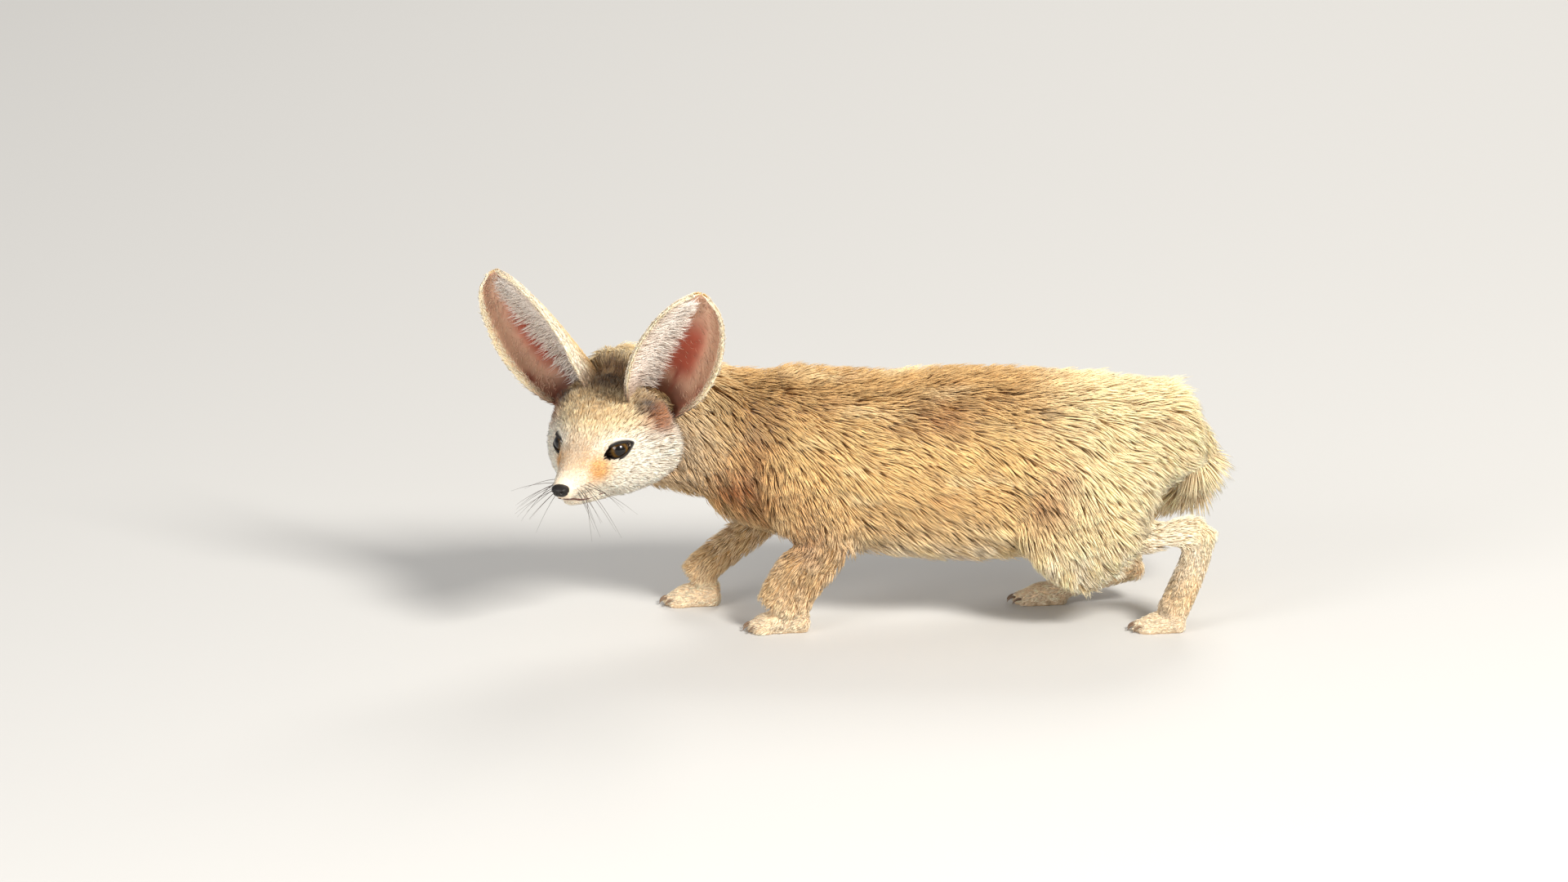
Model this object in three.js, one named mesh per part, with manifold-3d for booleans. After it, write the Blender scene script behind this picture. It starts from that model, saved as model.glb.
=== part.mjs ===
// Fennec fox, life size, creeping forward with its head turned to its left and its tail round its right side.
// Millimetres. The fox faces -X, its left side is -Y, +Z is up and the soles stand on Z = 0.
import * as THREE from 'three';
import { mergeVertices } from 'three/addons/utils/BufferGeometryUtils.js';
import Module from 'manifold-3d';

const wasm = await Module();
wasm.setup();

// Driving dimensions of a grown fox, coat included.
const GAP = 0.35; // clearance between neighbouring pieces
const BACK_HEIGHT = 145; // top of the coat over the withers
const BELLY_HEIGHT = 34; // lowest hair of the belly
const BODY_HALF_WIDTH = 46;
const STANCE = 28; // each sole's distance from the middle plane
const EYES_AT = [-184, -60, 115]; // point midway between the eyes
const HEAD_YAW = THREE.MathUtils.degToRad(64); // head turned to the fox's left
const HEAD_PITCH = THREE.MathUtils.degToRad(6); // nose carried below level
const EYE_SPREAD = 15.5; // eyeball's distance from the middle of the head
const EYE_RADIUS = 7.4;
const LID_THICKNESS = 1.6;
const EAR_LENGTH = 87;
const EAR_THICKNESS = 2.2;
const BRUSH_RADIUS = 20; // the tail's radius at its fullest, out to the tips of its hair

const LEFT = -1;
const RIGHT = 1;
const SIDES = [['left', LEFT], ['right', RIGHT]];

// Helpers

const vec = (p) => new THREE.Vector3(...p);

// Turns every face outwards, judged by the sign of the enclosed volume.
function outward(geometry) {
  const p = geometry.attributes.position;
  const index = geometry.index.array;
  const [a, b, c] = [new THREE.Vector3(), new THREE.Vector3(), new THREE.Vector3()];
  let volume = 0;
  for (let i = 0; i < index.length; i += 3) {
    a.fromBufferAttribute(p, index[i]);
    b.fromBufferAttribute(p, index[i + 1]);
    c.fromBufferAttribute(p, index[i + 2]);
    volume += a.dot(b.cross(c));
  }
  if (volume < 0) {
    for (let i = 0; i < index.length; i += 3) {
      [index[i + 1], index[i + 2]] = [index[i + 2], index[i + 1]];
    }
  }
  return geometry;
}

function meshOf(points, faces) {
  const geometry = new THREE.BufferGeometry();
  const numbers = points.flatMap((p) => p.toArray());
  geometry.setAttribute('position', new THREE.Float32BufferAttribute(numbers, 3));
  geometry.setIndex(faces);
  return outward(geometry);
}

// A closed body carried along a smooth path through its stations, with rounded ends.
// A station is [x, y, z, half width, reach towards rise, reach away from rise].
function limb(stations, { rise, sides = 11, steps = 4, ends = [4, 4], full = 2 }) {
  const smooth = (rows) => new THREE.CatmullRomCurve3(rows.map(vec), false, 'catmullrom', 0.5);
  const centre = smooth(stations.map((s) => s.slice(0, 3)));
  const reach = smooth(stations.map((s) => [s[3], s[4], s[5] ?? s[4]]));
  const points = [];
  const faces = [];

  // One ring at t along the path, pushed past the end by `beyond` and shrunk by `scale`.
  function ring(t, beyond, scale) {
    const along = centre.getTangent(t);
    const up = vec(rise).addScaledVector(along, -vec(rise).dot(along)).normalize();
    const side = up.clone().cross(along);
    const middle = centre.getPoint(t).addScaledVector(along, beyond);
    const r = reach.getPoint(t);
    for (let i = 0; i < sides; i++) {
      const angle = (2 * Math.PI * i) / sides;
      const across = Math.sign(Math.cos(angle)) * Math.abs(Math.cos(angle)) ** (2 / full);
      const over = Math.sign(Math.sin(angle)) * Math.abs(Math.sin(angle)) ** (2 / full);
      points.push(middle.clone()
        .addScaledVector(side, across * r.x * scale)
        .addScaledVector(up, over * (over > 0 ? r.y : r.z) * scale));
    }
  }

  const capAngles = [32, 62].map(THREE.MathUtils.degToRad);
  for (const angle of [...capAngles].reverse()) ring(0, -ends[0] * Math.sin(angle), Math.cos(angle));
  for (let k = 0; k <= steps; k++) ring(k / steps, 0, 1);
  for (const angle of capAngles) ring(1, ends[1] * Math.sin(angle), Math.cos(angle));
  const rings = points.length / sides;
  const first = points.push(centre.getPoint(0).addScaledVector(centre.getTangent(0), -ends[0])) - 1;
  const last = points.push(centre.getPoint(1).addScaledVector(centre.getTangent(1), ends[1])) - 1;
  for (let i = 0; i < sides; i++) {
    const next = (i + 1) % sides;
    for (let k = 0; k + 1 < rings; k++) {
      const [a, b] = [k * sides + i, k * sides + next];
      faces.push(a, b, b + sides, a, b + sides, a + sides);
    }
    faces.push(first, next, i, last, (rings - 1) * sides + i, (rings - 1) * sides + next);
  }
  return meshOf(points, faces);
}

// Soft dents and swellings: each bump moves the points near `at` by `push`, fading over `size`.
function sculpt(geometry, bumps) {
  const p = geometry.attributes.position;
  const point = new THREE.Vector3();
  const moved = new THREE.Vector3();
  for (let i = 0; i < p.count; i++) {
    point.fromBufferAttribute(p, i);
    moved.copy(point);
    for (const { at, size, push } of bumps) {
      const near = Math.exp(-((point.distanceTo(vec(at)) / size) ** 2));
      moved.addScaledVector(vec(push), near);
    }
    p.setXYZ(i, moved.x, moved.y, moved.z);
  }
  return geometry;
}

// The same closed geometry with every point moved out along its normal.
function inflate(geometry, by = GAP) {
  const grown = bare(geometry);
  grown.computeVertexNormals();
  const p = grown.attributes.position;
  const n = grown.attributes.normal;
  for (let i = 0; i < p.count; i++) {
    p.setXYZ(i, p.getX(i) + by * n.getX(i), p.getY(i) + by * n.getY(i), p.getZ(i) + by * n.getZ(i));
  }
  grown.deleteAttribute('normal');
  return grown;
}

function bare(geometry) {
  const copy = geometry.clone();
  copy.deleteAttribute('normal');
  copy.deleteAttribute('uv');
  return mergeVertices(copy, 1e-4);
}

function solid(geometry) {
  const merged = bare(geometry);
  return new wasm.Manifold(new wasm.Mesh({
    numProp: 3,
    vertProperties: merged.attributes.position.array,
    triVerts: new Uint32Array(merged.index.array),
  }));
}

const joined = (geometries) => geometries.map(solid).reduce((all, one) => all.add(one));
const cutBack = (body, neighbours) => neighbours
  .map((geometry) => solid(inflate(geometry)))
  .reduce((all, one) => all.subtract(one), body);

// The largest closed surface of a solid, as a geometry: loose scraps and sealed hollows are dropped.
function largest(body) {
  const whole = body.decompose().reduce((a, b) => (b.volume() > a.volume() ? b : a));
  const mesh = whole.getMesh();
  const geometry = new THREE.BufferGeometry();
  geometry.setAttribute('position', new THREE.BufferAttribute(mesh.vertProperties, 3));
  geometry.setIndex(new THREE.BufferAttribute(mesh.triVerts, 1));
  return geometry;
}

function ball(at, radii, detail = [12, 8]) {
  const geometry = new THREE.SphereGeometry(1, ...detail);
  geometry.scale(...radii);
  return geometry.translate(...at);
}

// Locks of long hair

// Repeatable random numbers from 0 to 1.
let seed = 20;
function draw() {
  seed = (seed * 16807) % 2147483647;
  return seed / 2147483647;
}
const vary = (middle, share) => middle * (1 + share * (2 * draw() - 1));

// A flat, tapered lock carried along a spine that lies on the surface it grows from.
// spine(s) gives that surface's point, its outward direction and the lock's sideways direction.
// The root starts `sunk` under the surface and the tip stands `rise` over it.
const LOCK_RINGS = [[0, 0.75], [0.38, 1], [0.76, 0.66]]; // [share of the length, share of the width]
function lock(spine, { width, thick = 2.4, rise, sunk = 5 }) {
  const raised = (s) => {
    const { at, out, side } = spine(s);
    return { out, side, middle: at.addScaledVector(out, -sunk + (sunk + rise) * (1 - (1 - s) ** 3)) };
  };
  const points = LOCK_RINGS.flatMap(([s, share]) => {
    const { out, side, middle } = raised(s);
    return [
      middle.clone().addScaledVector(side, 0.5 * share * width),
      middle.clone().addScaledVector(out, 0.5 * thick),
      middle.clone().addScaledVector(side, -0.5 * share * width),
      middle.clone().addScaledVector(out, -0.5 * thick),
    ];
  });
  const tip = points.push(raised(1).middle) - 1;
  const faces = [0, 1, 2, 0, 2, 3];
  for (let i = 0; i < 4; i++) {
    const next = (i + 1) % 4;
    for (let k = 0; k < 2; k++) {
      const [a, b] = [4 * k + i, 4 * k + next];
      faces.push(a, b + 4, b, a, a + 4, b + 4);
    }
    faces.push(8 + i, tip, 8 + next);
  }
  return meshOf(points, faces);
}

// A spine straight along `lie`, kept square to the surface's outward direction.
function straightSpine({ root, out }, lie, length) {
  const along = lie.clone().addScaledVector(out, -lie.dot(out)).normalize();
  const side = out.clone().cross(along);
  return (s) => ({ at: root.clone().addScaledVector(along, s * length), out, side });
}

// The point of a surface that a ray from inside it meets, with the surface's direction there.
function surfaceFrom(geometry, inside, towards) {
  const surface = new THREE.Mesh(geometry, new THREE.MeshBasicMaterial({ side: THREE.DoubleSide }));
  const hits = new THREE.Raycaster(inside, towards.clone().normalize()).intersectObject(surface);
  const hit = hits[hits.length - 1];
  const out = hit.face.normal.clone();
  return { root: hit.point, out: out.dot(towards) < 0 ? out.negate() : out };
}

// Head, in its own frame: x towards the nose, y to the fox's left, z up, from the midpoint of the eyes

const forward = new THREE.Vector3().setFromSphericalCoords(1, Math.PI / 2 + HEAD_PITCH, HEAD_YAW);
forward.set(-forward.z, -forward.x, forward.y);
const leftward = new THREE.Vector3(Math.sin(HEAD_YAW), -Math.cos(HEAD_YAW), 0);
const headFrame = new THREE.Matrix4()
  .makeBasis(forward, leftward, forward.clone().cross(leftward))
  .setPosition(...EYES_AT);
const inHead = (geometry) => geometry.applyMatrix4(headFrame);

// Stations from the nape to the muzzle: [x, top, bottom, half width, height of the widest line].
const profile = (rows) => rows.map(([x, top, bottom, wide, z]) => [x, 0, z, wide, top - z, z - bottom]);

const SKULL = profile([
  [-52, 24, -26, 28, -2],
  [-42, 33, -33, 37, -7],
  [-28, 33, -35, 40, -10],
  [-14, 29, -34, 35, -10],
  [-3, 20, -31, 27, -9],
  [6, 11, -27, 19.5, -9],
  [14, 4.5, -24.5, 13.5, -10],
  [23, -1, -22.5, 10, -12],
  [31, -5.5, -21, 8, -13.5],
  [36, -8.5, -19.5, 6.2, -14],
]);
const JAW = profile([
  [-34, -22, -36, 17, -28],
  [-18, -20, -35, 15, -27],
  [-2, -19, -32.5, 12, -26],
  [12, -19, -29.5, 8.8, -24.5],
  [22, -18.5, -27, 6.6, -23],
  [28, -18, -25, 5, -22],
]);

const mirrored = (side, [x, y, z]) => [x, -side * y, z]; // y given for the fox's left

const faceBumps = SIDES.flatMap(([, side]) => [
  { at: mirrored(side, [3, 21, -2]), size: 8, push: mirrored(side, [-1, -1.5, 0]) }, // hollow round the eye
  { at: mirrored(side, [-4, 14, 11]), size: 7, push: [1, 0, 1.2] }, // brow
  { at: mirrored(side, [-8, 27, -12]), size: 10, push: mirrored(side, [0, 1.5, 0]) }, // cheekbone
  { at: mirrored(side, [29, 7, -15]), size: 6, push: mirrored(side, [0.4, 1.3, 0]) }, // whisker pad
]).concat({ at: [9, 0, 8], size: 6, push: [-0.8, 0, -1.2] }); // stop, where the brow meets the muzzle

const skullForm = limb(SKULL, { rise: [0, 0, 1], sides: 22, steps: 15, ends: [12, 2.5] });
const skull = inHead(sculpt(skullForm, faceBumps));
const nape = inHead(ball([-46, 0, 29], [19, 24, 18])); // fur and muscle heaped up behind the ears
const jaw = inHead(limb(JAW, { rise: [0, 0, 1], sides: 10, steps: 6, ends: [6, 2.5] }));

// The cheek ruff: locks in rows over the back of each cheek, swept back and down.
const RUFF = {
  rows: [{ x: -22, heights: [-30, -22, -13] }, { x: -35, heights: [-30, -22, -14, -5] }],
  length: 19,
  width: 11,
};
const headWay = (side, direction) => vec(mirrored(side, direction)).transformDirection(headFrame);
const ruff = SIDES.flatMap(([, side]) => RUFF.rows.flatMap(({ x, heights }) => heights.map((z) => {
  const inside = vec([x, 0, -12]).applyMatrix4(headFrame);
  const low = (-5 - z) / 25; // 0 beside the ear, 1 under the jaw's corner
  const lie = headWay(side, [-1, 0, -0.3 - 0.6 * low]);
  const foot = surfaceFrom(skull, inside, headWay(side, [0, 24, z + 12]));
  return lock(straightSpine(foot, lie, vary(RUFF.length, 0.15)), { width: RUFF.width, rise: vary(4, 0.2) });
})));

const NOSE_AT = [37.6, 0, -12.6];
const underNose = { at: [42, 0, -16.5], size: 3, push: [-0.8, 0, 0.4] };
const nosePad = inHead(sculpt(ball(NOSE_AT, [4.6, 4.9, 3.7]), [underNose]));
const NOSTRIL = { at: [41.2, 2.9, -13], radii: [1.9, 1.2, 1] };
const nostrils = SIDES.map(([, side]) => inHead(ball(mirrored(side, NOSTRIL.at), NOSTRIL.radii, [8, 5])));

const EYE_GAZE = [0.76, 0.63, 0.13]; // for the left eye
const eyeAt = (side) => mirrored(side, [-2.5, EYE_SPREAD, -0.5]);
const eyeball = (side, grow = 0) => {
  const radius = EYE_RADIUS + grow;
  return inHead(ball(eyeAt(side), [radius, radius, radius], [13, 9]));
};

// The opening between the lids: a lens-shaped prism along the gaze, its outer corner raised.
const OPENING = { halfWidth: 8.8, up: 4.6, down: 3.9, slant: THREE.MathUtils.degToRad(18), reach: 16 };
function lidOpening(side) {
  const lens = new THREE.Shape();
  lens.moveTo(-OPENING.halfWidth, 0);
  lens.quadraticCurveTo(0, 2 * OPENING.up, OPENING.halfWidth, 0);
  lens.quadraticCurveTo(0, -2 * OPENING.down, -OPENING.halfWidth, 0);
  const depth = OPENING.reach;
  const prism = new THREE.ExtrudeGeometry(lens, { depth, bevelEnabled: false, curveSegments: 6 });
  const gaze = vec(mirrored(side, EYE_GAZE)).normalize();
  const outer = new THREE.Vector3(0, 0, 1).cross(gaze).multiplyScalar(-side).normalize();
  const up = gaze.clone().cross(outer).multiplyScalar(-side);
  prism.rotateZ(OPENING.slant);
  const frame = new THREE.Matrix4().makeBasis(outer, up, outer.clone().cross(up));
  if (outer.clone().cross(up).dot(gaze) < 0) prism.scale(1, 1, -1);
  return inHead(outward(bare(prism.applyMatrix4(frame.setPosition(...eyeAt(side))))));
}

// Ears: each a leaf-shaped strip rolled about its midline, more tightly towards its root

// Where each ear springs from, the way it points and the way its cup opens; each moves by itself.
const EARS = {
  left: { root: [-30, 25, 18], axis: [0.22, 0.485, 0.85], facing: [0.85, 0.53, -0.1] },
  right: { root: [-30, 22.5, 18], axis: [0.22, 0.45, 0.87], facing: [0.91, 0.41, -0.1] },
};
const EAR_BURIED = 0.2; // share of its length below the root point
// x is the height as a share of the ear's length, y the half width of the flat strip there.
const earWidth = new THREE.CatmullRomCurve3([
  [-EAR_BURIED, 22, 0], [0, 28, 0], [0.2, 32.5, 0], [0.45, 33.5, 0],
  [0.65, 30, 0], [0.82, 24, 0], [0.93, 16.5, 0], [1, 5, 0],
].map(vec), false, 'catmullrom', 0.5);
const earCurl = (u) => 0.95 + 1.5 * (1 - Math.max(u, 0)) ** 1.7; // half angle of the roll in radians

// The head's flesh that closes the foot of each ear's tube.
const EAR_FOOT = { at: [-30, 26, 15], radii: [11, 11, 11] };
const earFeet = SIDES.map(([, side]) => inHead(ball(mirrored(side, EAR_FOOT.at), EAR_FOOT.radii)));

function ear(name, side, rows = 11, columns = 8) {
  const root = vec(mirrored(side, EARS[name].root));
  const axis = vec(mirrored(side, EARS[name].axis)).normalize();
  const facing = vec(mirrored(side, EARS[name].facing));
  facing.addScaledVector(axis, -facing.dot(axis)).normalize();
  const across = axis.clone().cross(facing);
  const rootRadius = earWidth.getPoint(1 / 7).y / earCurl(0);
  const strip = (depth) => {
    const points = [];
    for (let k = 0; k <= rows; k++) {
      const { x: u, y: halfWidth } = earWidth.getPoint(k / rows);
      const curl = earCurl(u);
      const radius = halfWidth / curl;
      for (let i = 0; i <= columns; i++) {
        const angle = curl * ((2 * i) / columns - 1);
        const r = radius + depth;
        points.push(root.clone()
          .addScaledVector(axis, u * EAR_LENGTH)
          .addScaledVector(across, r * Math.sin(angle))
          .addScaledVector(facing, radius - r * Math.cos(angle) - rootRadius * (1 - u)));
      }
    }
    return points;
  };
  const points = [...strip(0), ...strip(EAR_THICKNESS)];
  const faces = [];
  const row = columns + 1;
  const outer = row * (rows + 1);
  const quad = (a, b, c, d) => faces.push(a, b, c, a, c, d);
  for (let k = 0; k < rows; k++) {
    for (let i = 0; i < columns; i++) {
      const a = k * row + i;
      quad(a, a + 1, a + 1 + row, a + row);
      quad(outer + a, outer + a + row, outer + a + 1 + row, outer + a + 1);
    }
    for (const [a, way] of [[k * row, 1], [k * row + columns, -1]]) {
      if (way > 0) quad(a, a + row, outer + a + row, outer + a);
      else quad(a, outer + a, outer + a + row, a + row);
    }
  }
  for (let i = 0; i < columns; i++) {
    const top = rows * row + i;
    quad(i, outer + i, outer + i + 1, i + 1);
    quad(top, top + 1, outer + top + 1, outer + top);
  }
  return inHead(meshOf(points, faces));
}

// Trunk

// [x, top, bottom, half width], from the chest to the rump.
const trunkRow = ([x, top, bottom, wide]) => {
  const middle = (top + bottom) / 2;
  return [x, 0, middle, wide, top - middle];
};
const torso = limb([
  [-112, BACK_HEIGHT + 1, 66, 0.68 * BODY_HALF_WIDTH],
  [-92, BACK_HEIGHT + 1, 54, 0.8 * BODY_HALF_WIDTH],
  [-62, BACK_HEIGHT, BELLY_HEIGHT + 12, 0.92 * BODY_HALF_WIDTH],
  [-20, BACK_HEIGHT - 2, BELLY_HEIGHT + 3, 0.98 * BODY_HALF_WIDTH],
  [25, BACK_HEIGHT, BELLY_HEIGHT, BODY_HALF_WIDTH],
  [65, BACK_HEIGHT - 1, BELLY_HEIGHT + 6, BODY_HALF_WIDTH],
  [102, BACK_HEIGHT - 2, 56, 0.96 * BODY_HALF_WIDTH],
  [138, BACK_HEIGHT - 6, 82, 0.72 * BODY_HALF_WIDTH],
].map(trunkRow), { rise: [0, 0, 1], sides: 18, steps: 12, ends: [12, 18], full: 2.15 });

const neck = limb([
  [-94, 0, 102, 31, 41, 37],
  [-118, -2, 106, 31, 42, 36],
  [-142, -9, 114, 31, 42, 36],
  [-160, -22, 118, 25, 34, 32],
], { rise: [0, 0, 1], sides: 16, steps: 6, ends: [10, 5] });

const NECK_CUT = -104; // the plane across the trunk where the neck begins

// Legs: each station's reaches are across, forwards and backwards

const AHEAD = [-1, 0, 0];
const UPWARD = [0, 0, 1];

// The left foreleg takes the weight under the chest; the right one reaches forward.
const foreLegs = {
  left: {
    shoulder: limb([
      [-82, -22, 100, 20, 22],
      [-67, -25, 78, 20, 26],
      [-50, -28, 59, 14.5, 18],
    ], { rise: AHEAD, ends: [14, 8] }),
    forearm: limb([
      [-50, -29, 56, 13, 17],
      [-61, -29, 42, 12, 17],
      [-72, -29, 27, 11, 16],
      [-79, -29, 14, 10.5, 15],
    ], { rise: AHEAD, ends: [6, 4] }),
    region: [[-92, 122], [-66, 124], [-46, 100], [-30, 66], [-36, 46], [-54, 44], [-76, 56], [-98, 84]],
    heel: [-66, -STANCE, 9],
    toes: [-92, -STANCE - 1],
    paw: 11,
  },
  right: {
    shoulder: limb([
      [-88, 18, 98, 18, 20],
      [-82, 21, 82, 18, 20],
      [-75, 24, 67, 13, 15],
    ], { rise: AHEAD, ends: [14, 8] }),
    forearm: limb([
      [-74, 25, 65, 11.5, 14],
      [-92, 25, 48, 10, 12.5],
      [-112, 25, 31, 9, 11],
      [-127, 25, 18, 9, 10],
    ], { rise: AHEAD, ends: [6, 4] }),
    region: [[-96, 120], [-74, 122], [-58, 100], [-54, 70], [-64, 50], [-82, 52], [-99, 64], [-100, 90]],
    heel: [-116, STANCE - 3, 9],
    toes: [-139, STANCE - 3],
    paw: 9.5,
  },
};

// The left hind leg pushes off with its hock high; the right one is folded forward, its foot nearly flat.
const hindLegs = {
  left: {
    thigh: limb([
      [112, -18, 106, 20, 25],
      [104, -25, 92, 25, 38, 32],
      [88, -28, 69, 25, 49, 40],
      [68, -28, 50, 20, 34, 35],
    ], { rise: AHEAD, steps: 6, sides: 14, ends: [12, 14] }),
    shank: limb([
      [96, -30, 50, 13, 14],
      [122, -30, 54, 10, 11.5],
      [142, -30, 58, 8, 9.5],
      [152, -30, 58, 7.5, 9],
    ], { rise: UPWARD, ends: [6, 5] }),
    cannon: limb([
      [154, -30, 57, 7.5, 10],
      [150, -30, 40, 7, 9.5],
      [144, -30, 24, 7, 9.5],
      [139, -29, 12, 8, 9.5],
    ], { rise: AHEAD, ends: [6, 4] }),
    region: [
      [82, 120], [110, 126], [132, 108], [136, 80], [128, 44],
      [96, 22], [52, 16], [30, 36], [32, 72], [56, 106],
    ],
    heel: [143, -STANCE - 1, 8],
    toes: [122, -STANCE - 1],
    paw: 9.5,
  },
  right: {
    thigh: limb([
      [112, 18, 106, 20, 25],
      [98, 23, 98, 23, 36],
      [76, 27, 82, 20, 36],
      [60, 28, 68, 17, 28],
    ], { rise: AHEAD, steps: 6, sides: 14, ends: [12, 12] }),
    shank: limb([
      [54, 29, 62, 13, 16],
      [78, 28, 50, 12, 14],
      [102, 28, 36, 8.5, 10],
      [118, 28, 26, 7.5, 8.5],
    ], { rise: UPWARD, ends: [8, 4] }),
    cannon: limb([
      [120, 28, 22, 7.5, 8.5],
      [104, 28, 17, 7, 8],
      [88, 28, 12.5, 7, 8],
      [76, 28, 9.5, 7.5, 7.5],
    ], { rise: UPWARD, ends: [5, 3] }),
    region: [
      [82, 120], [110, 126], [132, 108], [134, 84], [118, 58],
      [86, 38], [50, 34], [26, 48], [28, 80], [52, 108],
    ],
    heel: [79, STANCE, 8],
    toes: [56, STANCE],
    paw: 9.5,
  },
};

// The side of the body that belongs to one leg: its outline seen from the side, carried outwards along Y.
const REGION_INSIDE = 3; // how near the middle plane it starts
const REGION_DEPTH = 80;
function legRegion(outline, side, grow = 0) {
  const heart = outline.reduce((sum, p) => sum.map((v, i) => v + p[i] / outline.length), [0, 0]);
  const grown = outline.map(([x, z]) => {
    const [dx, dz] = [x - heart[0], z - heart[1]];
    const stretch = 1 + grow / Math.hypot(dx, dz);
    return new THREE.Vector3(heart[0] + dx * stretch, heart[1] + dz * stretch, 0);
  });
  const edge = new THREE.CatmullRomCurve3(grown, true, 'catmullrom', 0.5).getPoints(20).slice(0, -1);
  const flat = new THREE.Shape(edge.map((p) => new THREE.Vector2(p.x, p.y)));
  const prism = new THREE.ExtrudeGeometry(flat, { depth: REGION_DEPTH, bevelEnabled: false });
  prism.rotateX(Math.PI / 2); // the outline now stands in the XZ plane and the depth runs towards -Y
  const inside = REGION_INSIDE - grow;
  return outward(bare(prism.translate(0, side === LEFT ? -inside : REGION_DEPTH + inside, 0)));
}

// Fringes: the long hair under the belly and chest and along the lower edge of each thigh.
const BELLY_FRINGE = { from: -28, to: 16, tilts: [-0.8, -0.3, 0.3, 0.8], step: 16, width: 17, length: 27 };
const bellyFringe = [];
for (const [row, tilt] of BELLY_FRINGE.tilts.entries()) {
  for (let x = BELLY_FRINGE.from + 8 * (row % 2); x <= BELLY_FRINGE.to; x += BELLY_FRINGE.step) {
    const foot = surfaceFrom(torso, new THREE.Vector3(x, 0, 80), new THREE.Vector3(0, tilt, -1));
    const spine = straightSpine(foot, new THREE.Vector3(1, 0, -0.7), vary(BELLY_FRINGE.length, 0.15));
    bellyFringe.push(lock(spine, { width: BELLY_FRINGE.width, rise: vary(3, 0.4) }));
  }
}
const CHEST_FRINGE = { at: [-118, -131], tilts: [-0.7, 0, 0.7], width: 13, length: 24 };
const chestFringe = CHEST_FRINGE.at.flatMap((x, row) => CHEST_FRINGE.tilts.map((tilt) => {
  const inside = new THREE.Vector3(x, -4 - 6 * row, 100);
  const foot = surfaceFrom(neck, inside, new THREE.Vector3(-0.25, tilt, -1));
  const spine = straightSpine(foot, new THREE.Vector3(0.6, 0, -1), vary(CHEST_FRINGE.length, 0.15));
  return lock(spine, { width: CHEST_FRINGE.width, rise: vary(4, 0.3) });
}));

// A paw: the pad under the wrist and four toes in front, with claws, cut flat on the floor.
const SOLE_SINK = 1.2; // how far the round forms reach below the floor before the cut
const CLAW = { radius: 0.8, length: 6, tilt: THREE.MathUtils.degToRad(108) };
function pawPieces({ heel, toes, paw: halfWidth }) {
  const [heelX, heelY, height] = heel;
  const length = heelX - toes[0];
  const pieces = [limb([
    [heelX, heelY, height - SOLE_SINK, 0.8 * halfWidth, height],
    [heelX - 0.5 * length, heelY, 0.85 * height - SOLE_SINK, halfWidth, 0.85 * height],
    [toes[0] + 2, toes[1], 0.6 * height - SOLE_SINK, 0.85 * halfWidth, 0.6 * height],
  ], { rise: UPWARD, steps: 3, sides: 8, ends: [4, 3] })];
  for (const [spread, lead] of [[-1.5, -3], [-0.5, 0], [0.5, 0], [1.5, -3]]) {
    const x = toes[0] - lead;
    const y = toes[1] + spread * 0.48 * halfWidth;
    pieces.push(ball([x, y, 3], [6.2, 0.29 * halfWidth, 4.4], [6, 4]));
    const claw = new THREE.ConeGeometry(CLAW.radius, CLAW.length, 3).rotateZ(CLAW.tilt);
    pieces.push(claw.translate(x - 6.6, y, 3.2));
  }
  return pieces;
}

const floor = new THREE.BoxGeometry(1000, 1000, 100).translate(0, 0, -50);

// Tail
// It drops behind the rump and swings forward outside the right thigh.
const tailPath = new THREE.CatmullRomCurve3([
  [130, 0, 122], [146, 2, 117], [151, 8, 100], [150, 26, 79],
  [140, 52, 64], [117, 73, 59], [90, 79, 60], [64, 77, 65],
].map(vec), false, 'catmullrom', 0.5);
const TAIL_CUTS = [0, 0.34, 0.68, 1];
const TAIL_LENGTH = tailPath.getLength();
const brushRadius = (t) => BRUSH_RADIUS * (0.62 + 0.9 * t * (1.25 - t));
const coreRadius = (t) => 0.5 * brushRadius(t);

// One length of the tail's core, run on past both ends for the cuts.
const TAIL_OVERRUN = 0.04;
function tailCore(from, to) {
  const stations = [];
  for (let k = 0; k <= 4; k++) {
    const t = THREE.MathUtils.clamp(from - TAIL_OVERRUN + ((to - from + 2 * TAIL_OVERRUN) * k) / 4, 0, 1);
    stations.push([...tailPath.getPointAt(t).toArray(), coreRadius(t), coreRadius(t)]);
  }
  return limb(stations, { rise: [0.1, 0.2, 1], sides: 8, ends: [5, to === 1 ? 9 : 5] });
}

// The way round the tail at t, for an angle from its upper side.
function roundTail(t, turn) {
  const along = tailPath.getTangentAt(t);
  const up = new THREE.Vector3(0, 0, 1).addScaledVector(along, -along.z).normalize();
  const across = up.clone().cross(along);
  const out = up.multiplyScalar(Math.cos(turn)).addScaledVector(across, Math.sin(turn));
  return { along, out, side: out.clone().cross(along) };
}

// A spine that starts at t and follows the tail's bend; past the tail's end it draws in towards the middle.
const tailSpine = (t, turn, length) => (s) => {
  const reach = t + (s * length) / TAIL_LENGTH;
  const u = Math.min(reach, 1);
  const past = (reach - u) * TAIL_LENGTH;
  const { along, out, side } = roundTail(u, turn);
  const at = tailPath.getPointAt(u)
    .addScaledVector(along, past)
    .addScaledVector(out, coreRadius(u) * (1 - past / BRUSH.length));
  return { at, out, side };
};

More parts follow.
